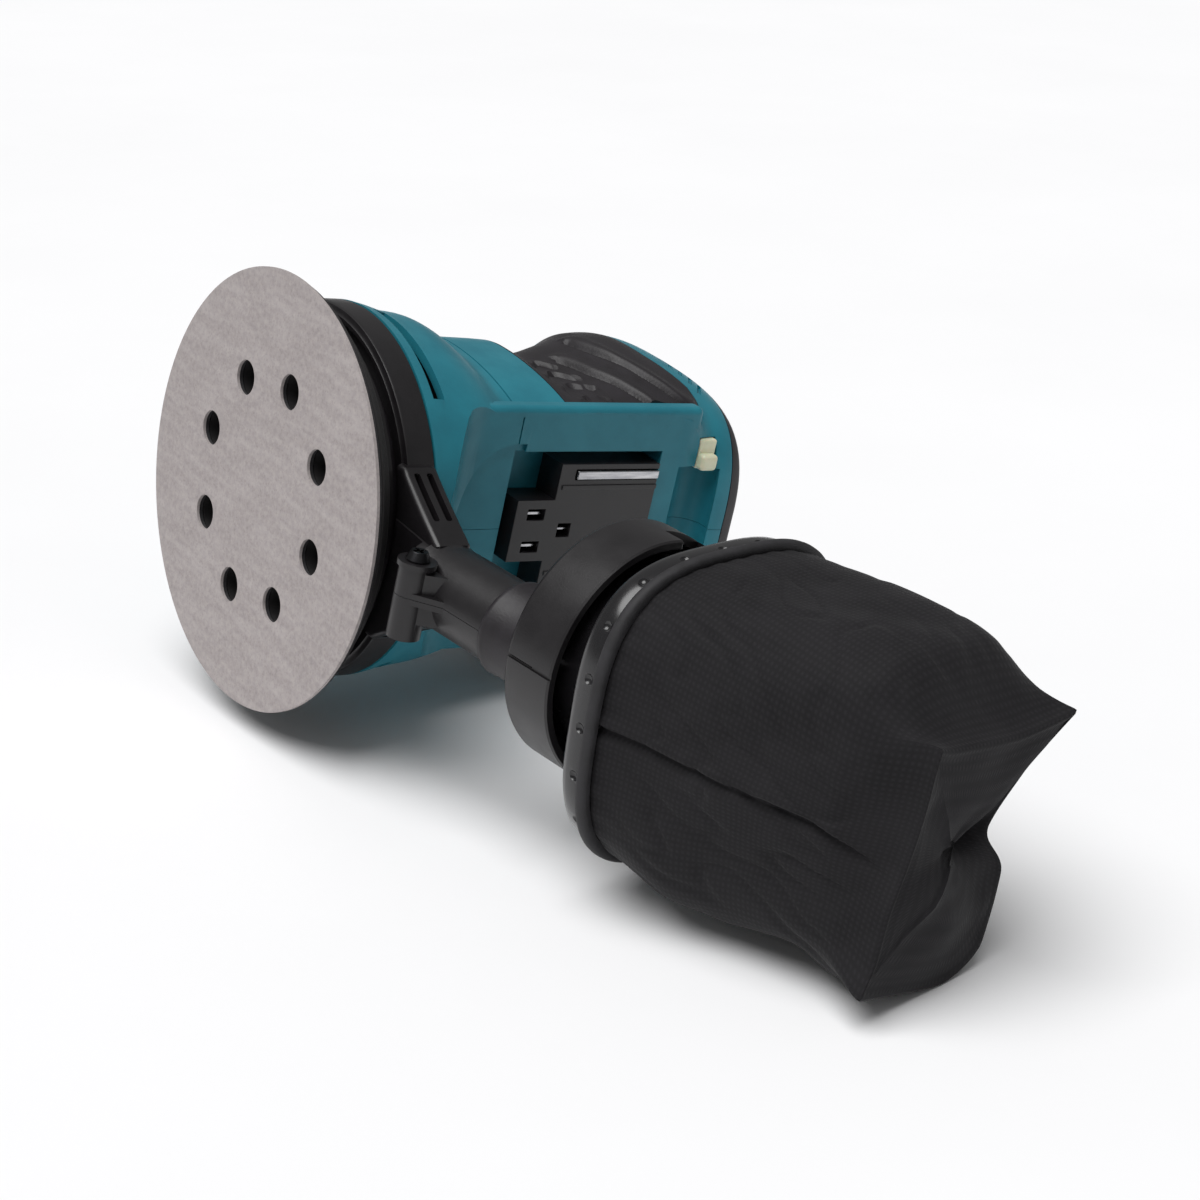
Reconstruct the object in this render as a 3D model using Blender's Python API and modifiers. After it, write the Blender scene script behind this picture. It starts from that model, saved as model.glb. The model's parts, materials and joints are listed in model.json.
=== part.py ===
"""A cordless random-orbit sander with its dust bag, built as the separate pieces it comes apart into.

The constants are in millimetres and every mesh is made in metres. The abrasive face lies at z = 0,
+Z runs up through the motor to the palm grip, +X points to the rear, where the battery slides on and
the dust bag hangs, and the motor turns about the Z axis. The casing is split at y = 0.
"""

import math

import bmesh
import bpy
from mathutils import Matrix, Vector

MM = 0.001
GAP = 0.3  # left between pieces that touch

# Sanding pad and abrasive disc: a 125 mm disc with eight dust holes.
DISC_RADIUS = 62.5
DISC_THICKNESS = 1.0
HOLE_COUNT = 8
HOLE_RADIUS = 5.0
HOLE_CIRCLE = 32.5
HOLE_PHASE = math.radians(12.8)
HOOK_TOP = 2.3
FOAM_TOP = 8.6
PLATE_TOP = 12.4
ORBIT_OFFSET = 1.4  # eccentricity: the pad's centre circles the motor axis at this radius

# Drive line, from the pad up.
BEARING_SEAT_TOP = 26.4
SHAFT_RADIUS = 4.0
SHAFT_TOP = 112.0
FAN_RADIUS = 41.0
CAN_RADIUS = 22.5
CAN_LOW, CAN_HIGH = 46.0, 92.7

# Dust skirt, its neck and the outlet nozzle.
SKIRT_RADIUS = 54.0
SKIRT_WALL = 3.1
SKIRT_LOW, SKIRT_TOP = 15.6, 25.0
NOZZLE_TILT = math.radians(7.5)
NOZZLE_RADIUS = 11.6
NOZZLE_BORE = 9.4
NOZZLE_HEIGHT = 9.8  # height of the nozzle's axis where it would cross the motor axis
BOSS_X, BOSS_Z, BOSS_RADIUS = 75.3, 6.0, 4.6

# Casing: the flat battery face at the rear, and the bay sunk into it.
REAR_FACE = 35.0
WALL = 2.8
GRIP_LOW, GRIP_REAR = 79.0, 29.4
GRIP_SKIN = 2.2
TOP_PAD_LOW = 144.2
BAY_HALF_WIDTH = 24.0
BAY_LOW, BAY_HIGH = 61.0, 113.6
BAY_FLOOR = 25.6
LATCH_RADIUS = 7.3
LATCH_X, LATCH_Z = 35.5, 128.4

# Collar, bag frame and dust bag share an axis, parallel to the nozzle's and above it.
COLLAR_X, COLLAR_Z = 108.4, 44.6
COLLAR_RADIUS = 34.0
COLLAR_LENGTH = 17.3
FRAME_START, FRAME_END = 30.5, 38.3
FRAME_HALF = 40.0
FRAME_SQUARENESS = 2.8
BAG_END = 125.0
BAG_ROLL = math.radians(5.2)

# Height, half width, centre, reach to the front, reach to the rear, where the rear is cut flat.
CASING_STATIONS = (
    (25.3, 54.0, 0.0, 54.0, 54.0, 53.7),
    (29.0, 53.2, 0.0, 53.2, 54.0, 52.4),
    (35.0, 51.6, 0.0, 52.0, 54.5, 44.5),
    (41.6, 50.6, -1.0, 49.6, 56.0, 37.0),
    (48.2, 48.2, -3.0, 46.0, 59.0, REAR_FACE),
    (54.5, 44.4, -6.5, 41.0, 65.0, REAR_FACE),
    (58.0, 42.4, -8.0, 38.6, 68.0, REAR_FACE),
    (79.0, 41.6, -8.0, 38.0, 79.0, REAR_FACE),
    (84.0, 38.9, -8.0, 36.6, 110.0, REAR_FACE),
    (90.0, 37.3, -8.0, 34.6, 150.0, REAR_FACE),
    (95.6, 38.6, -8.0, 33.6, 110.0, REAR_FACE),
    (101.0, 40.6, -8.0, 33.8, 88.0, REAR_FACE),
    (107.0, 42.8, -8.0, 36.0, 74.0, REAR_FACE),
    (112.0, 44.4, -8.0, 40.4, 68.0, REAR_FACE),
    (118.5, 44.6, -8.0, 42.8, 67.0, REAR_FACE),
    (126.0, 43.6, -8.0, 42.2, 66.0, 35.9),
    (132.0, 42.0, -8.0, 40.4, 66.0, 37.6),
    (138.0, 39.6, -7.5, 38.2, 66.0, 39.4),
    (143.6, 36.6, -7.0, 34.8, 66.0, 38.6),
    (148.0, 31.8, -6.0, 29.8, 54.0, 33.4),
    (151.4, 24.4, -5.0, 22.6, 42.0, 29.6),
    (153.0, 14.0, -4.5, 13.0, 25.0, 17.6),
)
CASING_POINTS = 30  # around each station, from one rear corner to the other
INNER_POINTS = 18  # the same, on the hidden inside of a shell


# --- Scene, finishes and basic solids -------------------------------------------------------------


def clear_scene():
    for item in list(bpy.data.objects):
        bpy.data.objects.remove(item, do_unlink=True)


def new_collection(name):
    group = bpy.data.collections.new(name)
    bpy.context.scene.collection.children.link(group)
    return group


clear_scene()
PARTS = new_collection("orbital_sander")
CUTTERS = new_collection("cutters")


def finish(name, colour, roughness, metallic=0.0):
    """A Principled material from an sRGB colour in 0-255."""
    material = bpy.data.materials.new(name)
    material.use_nodes = True
    shader = material.node_tree.nodes["Principled BSDF"]
    linear = [(part / 255.0) ** 2.2 for part in colour]
    shader.inputs["Base Color"].default_value = (*linear, 1.0)
    shader.inputs["Roughness"].default_value = roughness
    shader.inputs["Metallic"].default_value = metallic
    return material


TEAL_ABS = finish("teal_abs", (42, 118, 132), 0.45)
BLACK_NYLON = finish("black_nylon", (34, 33, 36), 0.5)
BLACK_RUBBER = finish("black_rubber", (48, 45, 48), 0.65)
STEEL = finish("steel", (170, 172, 176), 0.3, 1.0)
BLACK_STEEL = finish("black_steel", (40, 40, 42), 0.35, 1.0)
ALUMINIUM = finish("aluminium", (180, 182, 184), 0.4, 1.0)
COPPER = finish("copper", (184, 115, 70), 0.35, 1.0)
BRASS = finish("brass", (190, 160, 90), 0.35, 1.0)
CARBON = finish("carbon", (38, 38, 40), 0.6)
FERRITE = finish("ferrite", (62, 62, 66), 0.7)
NATURAL_NYLON = finish("natural_nylon", (226, 224, 196), 0.45)
CIRCUIT_BOARD = finish("circuit_board", (28, 92, 60), 0.5)
CLEAR_RED = finish("red_lens", (176, 32, 28), 0.2)
ABRASIVE = finish("abrasive_paper", (186, 176, 172), 0.85)
HOOK_FABRIC = finish("hook_fabric", (70, 70, 72), 0.9)
FOAM = finish("grey_foam", (78, 74, 72), 0.9)
CLOTH = finish("black_polyester", (36, 36, 39), 0.8)


def add_object(name, mesh, material):
    """Links the mesh as a part, or as a hidden cutter where it has no material."""
    item = bpy.data.objects.new(name, mesh)
    if material is None:
        CUTTERS.objects.link(item)
        item.hide_render = True
        item.display_type = "WIRE"
    else:
        PARTS.objects.link(item)
        mesh.materials.append(material)
    return item


def from_bmesh(name, shape, material=None):
    bmesh.ops.recalc_face_normals(shape, faces=shape.faces)
    mesh = bpy.data.meshes.new(name)
    shape.to_mesh(mesh)
    shape.free()
    return add_object(name, mesh, material)


def box(name, low, high, material=None, bevel=0.0):
    shape = bmesh.new()
    bmesh.ops.create_cube(shape, size=1.0)
    size = [(h - l) * MM for l, h in zip(low, high)]
    middle = [(h + l) / 2 * MM for l, h in zip(low, high)]
    bmesh.ops.scale(shape, vec=size, verts=shape.verts)
    bmesh.ops.translate(shape, vec=middle, verts=shape.verts)
    item = from_bmesh(name, shape, material)
    if bevel:
        round_edges(item, bevel)
    return item


def round_edges(item, width, segments=2, angle=40.0):
    bevel = item.modifiers.new("rounded_edges", "BEVEL")
    bevel.width = width * MM
    bevel.segments = segments
    bevel.limit_method = "ANGLE"
    bevel.angle_limit = math.radians(angle)
    return item


def cylinder(name, radius, start, end, material=None, segments=32, end_radius=None):
    """A cylinder or a cone frustum from one point to another."""
    start, end = Vector(start), Vector(end)
    shape = bmesh.new()
    bmesh.ops.create_cone(
        shape, cap_ends=True, segments=segments, depth=(end - start).length * MM,
        radius1=radius * MM, radius2=(radius if end_radius is None else end_radius) * MM,
    )
    turn = Vector((0, 0, 1)).rotation_difference(end - start).to_matrix()
    bmesh.ops.rotate(shape, cent=(0, 0, 0), matrix=turn, verts=shape.verts)
    bmesh.ops.translate(shape, vec=(start + end) / 2 * MM, verts=shape.verts)
    return from_bmesh(name, shape, material)


def turned(name, profile, material=None, centre=(0.0, 0.0), steps=48):
    """A profile of (radius, height) points turned about a vertical axis.

    The points run down the outer side. A profile that starts on the axis also ends on it, and
    any other is closed into a ring.
    """
    mesh = bpy.data.meshes.new(name)
    points = [(radius * MM, 0.0, height * MM) for radius, height in profile]
    edges = [(i, i + 1) for i in range(len(points) - 1)]
    if profile[0][0] > 0:
        edges.append((len(points) - 1, 0))
    mesh.from_pydata(points, edges, [])
    item = add_object(name, mesh, material)
    item.location = (centre[0] * MM, centre[1] * MM, 0.0)
    screw = item.modifiers.new("turn", "SCREW")
    screw.steps = steps
    screw.render_steps = steps
    screw.use_merge_vertices = True
    screw.merge_threshold = 0.00001
    return item


def ring(name, outer, inner, low, high, material=None, centre=(0.0, 0.0), steps=48):
    profile = [(outer, high), (outer, low), (inner, low), (inner, high)]
    return turned(name, profile, material, centre, steps)


def disc(name, radius, low, high, material=None, centre=(0.0, 0.0), steps=48):
    return turned(name, [(0, high), (radius, high), (radius, low), (0, low)], material, centre, steps)


def prism(name, outline, low, high, material=None, axis="Z"):
    """A flat outline raised from low to high along an axis; the outline gives the other two."""
    order = {"X": lambda a, b, h: (h, a, b), "Y": lambda a, b, h: (a, h, b), "Z": lambda a, b, h: (a, b, h)}
    shape = bmesh.new()
    corners = [shape.verts.new(Vector(order[axis](a, b, low)) * MM) for a, b in outline]
    face = shape.faces.new(corners)
    raised = bmesh.ops.extrude_face_region(shape, geom=[face])["geom"]
    moved = [part for part in raised if isinstance(part, bmesh.types.BMVert)]
    bmesh.ops.translate(shape, vec=Vector(order[axis](0, 0, high - low)) * MM, verts=moved)
    return from_bmesh(name, shape, material)


def arc_prism(name, inner, outer, start, end, low, high, material=None, steps=8):
    """Part of a ring, between two angles in degrees from +X."""
    angles = [math.radians(start + (end - start) * k / steps) for k in range(steps + 1)]
    outline = [(outer * math.cos(a), outer * math.sin(a)) for a in angles]
    outline += [(inner * math.cos(a), inner * math.sin(a)) for a in reversed(angles)]
    return prism(name, outline, low, high, material)


def loft(name, rings, material=None):
    """A closed skin over rings of equally many points, flat at both ends."""
    shape = bmesh.new()
    rows = [[shape.verts.new(Vector(point) * MM) for point in points] for points in rings]
    for lower, upper in zip(rows, rows[1:]):
        for i, corner in enumerate(lower):
            j = (i + 1) % len(lower)
            shape.faces.new((corner, lower[j], upper[j], upper[i]))
    shape.faces.new(list(reversed(rows[0])))
    shape.faces.new(rows[-1])
    return from_bmesh(name, shape, material)


def combine(item, operation, others, solver="EXACT"):
    for other in others:
        tool = item.modifiers.new(operation.lower(), "BOOLEAN")
        tool.operation = operation
        tool.solver = solver
        tool.object = other
        other.hide_render = True
        other.display_type = "WIRE"
    return item


def cut(item, *others):
    return combine(item, "DIFFERENCE", others)


def join(item, *others):
    return combine(item, "UNION", others)


def keep_inside(item, *others):
    return combine(item, "INTERSECT", others)


def set_origin(item, point):
    """Moves the item's origin to a point and leaves its shape where it is."""
    shift = Vector(point) * MM - item.location
    item.data.transform(Matrix.Translation(-shift))
    item.location = item.location + shift
    return item


def settled(item):
    """The item's mesh in world space with its modifiers applied; the item itself is removed."""
    bpy.context.view_layer.update()
    seen = item.evaluated_get(bpy.context.evaluated_depsgraph_get())
    mesh = bpy.data.meshes.new_from_object(seen)
    mesh.transform(item.matrix_world)
    bpy.data.objects.remove(item, do_unlink=True)
    return mesh


def split_left_right(whole, left_name, right_name, material):
    """Two shells from one solid, parted at y = 0 with half the gap on each side."""
    mesh = settled(whole)
    reach = 300.0
    for name, side in ((left_name, 1), (right_name, -1)):
        half = add_object(name, mesh.copy(), material)
        near, far = sorted((-side * GAP / 2, side * reach))
        parting = box(name + "_parting", (-reach, near, -reach), (reach, far, reach))
        combine(half, "DIFFERENCE", [parting], "MANIFOLD")
    bpy.data.meshes.remove(mesh)


# --- Sanding pad ----------------------------------------------------------------------------------


def dust_holes(name, radius, segments):
    """The cutters for the ring of dust holes through one layer of the pad."""
    holes = []
    for k in range(HOLE_COUNT):
        angle = HOLE_PHASE + k * math.tau / HOLE_COUNT
        x = ORBIT_OFFSET + HOLE_CIRCLE * math.cos(angle)
        y = HOLE_CIRCLE * math.sin(angle)
        ends = (x, y, -1.0), (x, y, PLATE_TOP + 1.0)
        holes.append(cylinder(f"{name}_hole_{k}", radius, *ends, segments=segments))
    return holes


def sanding_pad():
    """The layers of the pad, the bolt that holds them and the spindle they turn on."""
    x, centre = ORBIT_OFFSET, (ORBIT_OFFSET, 0.0)
    disc("abrasive_disc", DISC_RADIUS, 0.0, DISC_THICKNESS, ABRASIVE, centre, 64)
    hook_low = DISC_THICKNESS + GAP
    disc("hook_face", DISC_RADIUS - 1.0, hook_low, HOOK_TOP, HOOK_FABRIC, centre, 48)
    foam_low, bolt_room = HOOK_TOP + GAP, 8.0
    foam_side = [(55.6, FOAM_TOP), (61.2, foam_low), (bolt_room, foam_low), (bolt_room, FOAM_TOP)]
    turned("pad_foam", foam_side, FOAM, centre, 48)
    plate_low = FOAM_TOP + GAP
    ring("pad_plate", 51.0, 3.4, plate_low, PLATE_TOP, BLACK_NYLON, centre, 40)
    layers = (
        ("abrasive_disc", HOLE_RADIUS, 12), ("hook_face", HOLE_RADIUS + 0.4, 10),
        ("pad_foam", HOLE_RADIUS + 0.6, 10), ("pad_plate", HOLE_RADIUS + 0.6, 10),
    )
    for name, radius, segments in layers:
        cut(PARTS.objects[name], *dust_holes(name, radius, segments))

    seat = PLATE_TOP + GAP
    spindle_side = [
        (5.0, BEARING_SEAT_TOP - 0.6), (5.0, seat + 3.0), (9.0, seat + 2.4), (9.0, seat), (3.4, seat),
        (3.4, BEARING_SEAT_TOP - 0.6),
    ]
    turned("pad_spindle", spindle_side, STEEL, centre, 20)
    head = plate_low - GAP
    bolt_side = [
        (0, BEARING_SEAT_TOP - 2), (3.0, BEARING_SEAT_TOP - 2), (3.0, head), (6.4, head), (6.4, head - 3.4),
        (0, head - 3.4),
    ]
    bolt = turned("pad_bolt", bolt_side, BLACK_STEEL, centre, 20)
    cut(bolt, cylinder("bolt_socket", 2.6, (x, 0, head - 5), (x, 0, head - 1.4), segments=6))
    ring("pad_bearing_inner", 8.0, 5.3, 16.4, BEARING_SEAT_TOP - 0.9, STEEL, centre, 24)


# --- Rotating assembly ----------------------------------------------------------------------------


def eccentric():
    """The eccentric hub that carries the pad bearing, with its balance weight opposite the offset."""
    low = 16.0
    hub = disc("eccentric_hub", 18.4, low, 30.6, ALUMINIUM, (0, 0), 32)
    join(hub, arc_prism("balance_weight", 16.0, 30.0, 95, 265, 17.0, 22.0, None, 14))
    pocket = disc("bearing_pocket", 14.3, low - 1, BEARING_SEAT_TOP, None, (ORBIT_OFFSET, 0.0), 32)
    bore = disc("hub_bore", SHAFT_RADIUS + GAP, low - 2, 40, None, (0, 0), 16)
    cut(hub, pocket, bore)
    ring("pad_bearing_outer", 14.0, 10.6, 16.4, BEARING_SEAT_TOP - GAP, STEEL, (ORBIT_OFFSET, 0.0), 28)


def fan():
    """A centrifugal fan: twelve straight vanes under a plate."""
    plate_low, plate_top = 31.4, 33.2
    side = [
        (9.0, 35.4), (9.0, plate_top), (FAN_RADIUS, plate_top), (FAN_RADIUS, plate_low),
        (SHAFT_RADIUS + GAP, plate_low), (SHAFT_RADIUS + GAP, 35.4),
    ]
    wheel = turned("fan", side, BLACK_NYLON, (0, 0), 30)
    vanes = bmesh.new()
    count = 12
    for k in range(count):
        made = bmesh.ops.create_cube(vanes, size=1.0)["verts"]
        bmesh.ops.scale(vanes, vec=(17 * MM, 1.6 * MM, 7.6 * MM), verts=made)
        bmesh.ops.translate(vanes, vec=(31.5 * MM, 0, 28 * MM), verts=made)
        turn = Matrix.Rotation(k * math.tau / count, 3, "Z")
        bmesh.ops.rotate(vanes, cent=(0, 0, 0), matrix=turn, verts=made)
    join(wheel, from_bmesh("fan_vanes", vanes))


def armature():
    disc("motor_shaft", SHAFT_RADIUS, BEARING_SEAT_TOP + GAP, SHAFT_TOP, STEEL, (0, 0), 16)
    inner = SHAFT_RADIUS + GAP
    core = ring("armature_core", 17.6, inner, 52.3, 84.0, BLACK_STEEL, (0, 0), 36)
    slots = 10
    for k in range(slots):
        angle = k * math.tau / slots
        x, y = 16.8 * math.cos(angle), 16.8 * math.sin(angle)
        cut(core, cylinder(f"core_slot_{k}", 1.5, (x, y, 50), (x, y, 86), segments=6))
    for name, low, high in (("armature_winding_lower", 45.6, 52.0), ("armature_winding_upper", 84.3, 90.6)):
        side = [(12.0, high), (15.6, high - 2), (15.6, low + 2), (12.0, low), (inner, low), (inner, high)]
        turned(name, side, COPPER, (0, 0), 20)
    commutator = ring("commutator", 8.6, inner, 91.0, 101.4, COPPER, (0, 0), 24)
    for k in range(8):
        angle = k * math.tau / 8
        bar = box(f"segment_slot_{k}", (7.9, -0.3, 92.4), (10, 0.3, 103))
        bar.rotation_euler = (0, 0, angle)
        cut(commutator, bar)
    ring("lower_bearing_inner", 6.8, inner, 38.2, 44.6, STEEL, (0, 0), 24)
    ring("upper_bearing_inner", 6.2, inner, 104.6, 110.6, STEEL, (0, 0), 24)


# --- Motor frame ----------------------------------------------------------------------------------


def motor_frame():
    plate_side = [
        (46.0, 38.4), (46.0, 36.0), (7.4, 36.0), (7.4, 37.6), (11.4, 37.6), (11.4, 45.2), (14.0, 45.2),
        (14.0, 38.4),
    ]
    plate = turned("bearing_plate", list(reversed(plate_side)), ALUMINIUM, (0, 0), 32)
    cut(plate, box("plate_flat", (33.0, -60, 30), (60, 60, 50)))
    ring("lower_bearing_outer", 11.1, 8.8, 38.2, 44.6, STEEL, (0, 0), 24)
    ring("upper_bearing_outer", 9.8, 7.8, 104.6, 110.6, STEEL, (0, 0), 24)

    ring("motor_can", CAN_RADIUS, 21.0, CAN_LOW, CAN_HIGH, BLACK_STEEL, (0, 0), 36)
    for name, side in (("magnet_front", -1), ("magnet_rear", 1)):
        magnet = ring(name, 20.7, 18.3, 52.0, 86.0, FERRITE, (0, 0), 36)
        reach = 6.0
        near, far = sorted((side * reach, -side * 30))
        cut(magnet, box(name + "_trim", (near, -30, 40), (far, 30, 100)))

    bell_side = [
        (22.5, 103.4), (22.5, CAN_HIGH + GAP), (20.4, CAN_HIGH + GAP), (20.4, 101.8), (7.0, 101.8), (7.0, 104.3),
        (10.1, 104.3), (10.1, 112.6), (12.4, 112.6), (12.4, 103.4),
    ]
    bell = turned("end_bell", list(reversed(bell_side)), BLACK_NYLON, (0, 0), 30)
    for side in (-1, 1):
        near, far = sorted((side * 14.0, side * 30.0))
        cut(bell, box(f"bell_window_{side}", (-5.2, near, 92.0), (5.2, far, 100.9)))


def brush_gear():
    """A carbon brush and its holder on each side of the commutator."""
    for name, side in (("left", -1), ("right", 1)):
        near, far = sorted((side * 10.8, side * 23.6))
        holder = box(f"brush_holder_{name}", (-4.7, near, 93.3), (4.7, far, 100.6), BRASS)
        inner, outer = sorted((side * 9.0, side * 22.6))
        cut(holder, box(f"holder_bore_{name}", (-3.3, inner, 94.5), (3.3, outer, 99.4)))
        inner, outer = sorted((side * 8.9, side * 17.6))
        box(f"carbon_brush_{name}", (-3.0, inner, 94.8), (3.0, outer, 99.1), CARBON)


# --- Casing ---------------------------------------------------------------------------------------


def casing_ring(station, inset, points_round):
    """One section: an oval, longer to the rear than to the front, cut flat at the rear."""
    height, width, middle, front, rear, flat = station
    width, front, rear, flat = width - inset, front - inset, rear - inset, flat - inset
    corner = math.acos(min((flat - middle) / rear, 0.9995))
    points = []
    for k in range(points_round + 1):
        angle = corner + k * (math.tau - 2 * corner) / points_round
        reach = rear if math.cos(angle) > 0 else front
        points.append((middle + reach * math.cos(angle), width * math.sin(angle), height))
    return points


def station_at(height):
    """The casing's section at any height, between the stations around it."""
    pairs = zip(CASING_STATIONS, CASING_STATIONS[1:])
    lower, upper = next(pair for pair in pairs if pair[0][0] <= height <= pair[1][0])
    share = (height - lower[0]) / (upper[0] - lower[0])
    return tuple(a + (b - a) * share for a, b in zip(lower, upper))


def casing_loft(name, inset, low, high, material=None, points_round=CASING_POINTS, step=1):
    """The casing's form between two heights, drawn in by the inset all round."""
    inside = [s for s in CASING_STATIONS if low + 0.2 < s[0] < high - 0.2][::step]
    chosen = [station_at(low), *inside, station_at(high)]
    return loft(name, [casing_ring(s, inset, points_round) for s in chosen], material)


def grip_region(name, margin):
    """The space of the rubber grip in side view: level below, and dipping to the front above."""
    low, rear = GRIP_LOW - margin, GRIP_REAR + margin
    upper = [(rear, 130.4), (-16.0, 121.4), (-30.0, 113.0), (-34.0, 103.0), (-38.0, 96.0), (-70.0, 94.4)]
    outline = [(-70.0, low), (rear, low)] + [(x, z + margin) for x, z in upper]
    return prism(name, outline, -60, 60, None, "Y")


def panel_region(name, margin):
    """The space of the switch panel on the front of the grip."""
    half, low, high = 16.0 + margin, 97.6 - margin, 119.0 + margin
    region = box(name, (-70, -half, low), (-30, half, high))
    return region


def casing():
    shell = casing_loft("casing", 0.0, 25.3, 153.0)
    for name, side in (("left", -1), ("right", 1)):
        near, far = sorted((side * 30.0, side * 37.0))
        lip = box(f"rail_lip_{name}", (28.6, near, 44.5), (REAR_FACE, far, 126.0))
        join(shell, round_edges(lip, 1.6))

    cavity = casing_loft("casing_cavity", WALL, 25.3, 78.0, None, INNER_POINTS)
    cavity.location.z = -1.0 * MM
    upper_cavity = casing_loft("upper_cavity", WALL + GRIP_SKIN, 75.0, 149.0, None, INNER_POINTS, 2)
    bay_wall = 2.4
    bay_block = box(
        "bay_block", (BAY_FLOOR - bay_wall, -BAY_HALF_WIDTH - bay_wall, BAY_LOW - bay_wall),
        (60, BAY_HALF_WIDTH + bay_wall, BAY_HIGH + bay_wall),
    )
    latch_block = cylinder(
        "latch_block", LATCH_RADIUS + bay_wall, (LATCH_X, -21.6, LATCH_Z), (LATCH_X, 21.6, LATCH_Z),
        segments=32,
    )
    cushion_block = box("cushion_block", (28.6, -30.6, 125.0), (60, 30.6, 136.6))
    bosses = [
        cylinder(f"screw_boss_{k}", 5.0, (x, -60, z), (x, 60, z), segments=14)
        for k, (x, z) in enumerate(CASING_SCREWS)
    ]
    cut(cavity, bay_block, bosses[0], bosses[1])
    cut(upper_cavity, bay_block, latch_block, cushion_block, bosses[2], bosses[3])
    cut(shell, cavity, upper_cavity)

    half, low = BAY_HALF_WIDTH, BAY_LOW
    cut(shell, box("bay", (BAY_FLOOR, -half, low), (60, half, BAY_HIGH)))
    turns = [math.pi + k * math.pi / 12 for k in range(13)]
    arch = [(26.2 * math.cos(a), low + 18.0 * math.sin(a)) for a in turns]
    arch += [(26.2, low + 3), (-26.2, low + 3)]
    cut(shell, prism("arched_step", arch, REAR_FACE - 1.2, 60, None, "X"))
    ends = (LATCH_X, -19, LATCH_Z), (LATCH_X, 19, LATCH_Z)
    cut(shell, cylinder("latch_groove", LATCH_RADIUS, *ends, segments=32))
    for name, side in (("left", -1), ("right", 1)):
        near, far = sorted((side * 18.0, side * 27.9))
        cut(shell, box(f"cushion_pocket_{name}", (30.7, near, 127.3), (60, far, 134.3)))

    grip_recess = casing_loft("grip_recess", -3.0, 76.0, 134.0)
    cut(grip_recess, casing_loft("grip_floor", GRIP_SKIN + 2.5 * GAP, 70.0, 138.0))
    keep_inside(grip_recess, grip_region("grip_room", GAP))
    panel_recess = casing_loft("panel_recess", -3.0, 90.0, 126.0)
    cut(panel_recess, casing_loft("panel_floor", 2.0 + GAP, 88.0, 128.0))
    keep_inside(panel_recess, panel_region("panel_room", GAP))
    pad_recess = casing_loft("pad_recess", -3.0, TOP_PAD_LOW - GAP, 153.0)
    cut(pad_recess, casing_loft("pad_floor", 2.4 + GAP, 140.0, 150.6))
    cut(shell, grip_recess, panel_recess, pad_recess)

    for k, (start, end) in enumerate(((48, 92), (100, 140), (-92, -48), (-140, -100))):
        cut(shell, arc_prism(f"cooling_slot_{k}", 44.0, 60.0, start, end, 28.6, 32.6))
    cut(shell, *button_holes("casing"), *screw_holes())
    split_left_right(shell, "housing_left", "housing_right", TEAL_ABS)


def grips():
    grip = casing_loft("grip", 0.0, GRIP_LOW, 132.0)
    cut(grip, casing_loft("grip_inside", GRIP_SKIN, 70.0, 136.0))
    keep_inside(grip, grip_region("grip_space", 0.0))
    cut(grip, panel_region("panel_clearance", GAP))
    split_left_right(grip, "grip_left", "grip_right", BLACK_RUBBER)

    pad = casing_loft("palm_pad", 0.0, TOP_PAD_LOW, 153.0, BLACK_RUBBER)
    cut(pad, casing_loft("palm_pad_inside", 2.4, 140.0, 150.9))


# --- Switch panel, screws and electronics ---------------------------------------------------------

POWER_BUTTON = (0.0, 112.0, 6.4)  # y, z and radius of each button on the panel
SPEED_BUTTON = (-7.0, 102.4, 3.8)
CASING_SCREWS = ((-30.0, 66.0), (29.2, 51.2), (-28.0, 131.0), (19.0, 139.4))  # x, z, two below the grip
SCREW_SEAT = 9.0  # y of the underside of each head


def button_holes(name):
    holes = []
    for k, (y, z, radius) in enumerate((POWER_BUTTON, SPEED_BUTTON)):
        holes.append(cylinder(f"{name}_button_hole_{k}", radius + GAP, (-60, y, z), (-42, y, z), segments=32))
    return holes


def switch_panel():
    panel = casing_loft("switch_panel", -0.4, 96.0, 121.0, BLACK_NYLON)
    cut(panel, casing_loft("switch_panel_inside", 2.0, 90.0, 126.0))
    keep_inside(panel, panel_region("panel_space", 0.0))
    window = box("lamp_window", (-60, 2.7, 100.7), (-30, 12.3, 104.1))
    combine(panel, "DIFFERENCE", [*button_holes("panel"), window], "MANIFOLD")
    lamp = casing_loft("speed_lamp", -0.7, 98.0, 108.0, CLEAR_RED)
    cut(lamp, casing_loft("speed_lamp_inside", 1.8, 90.0, 112.0))
    keep_inside(lamp, box("lamp_space", (-60, 3.0, 101.0), (-30, 12.0, 103.8)))

    buttons = ("power_button", POWER_BUTTON, -54.6), ("speed_button", SPEED_BUTTON, -53.2)
    for name, (y, z, radius), face in buttons:
        button = cylinder(name, radius, (face, y, z), (-44.6, y, z), BLACK_RUBBER, 24)
        round_edges(set_origin(button, (face, y, z)), 0.7, 1, 60)


def screw_holes():
    """The wide bore down to each screw's head, and the narrow one beyond it."""
    holes = []
    for k, (x, z) in enumerate(CASING_SCREWS):
        holes.append(cylinder(f"head_bore_{k}", 3.4, (x, SCREW_SEAT - GAP, z), (x, 70, z), segments=14))
        holes.append(cylinder(f"shank_bore_{k}", 1.8, (x, -14, z), (x, 20, z), segments=10))
    return holes


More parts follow.
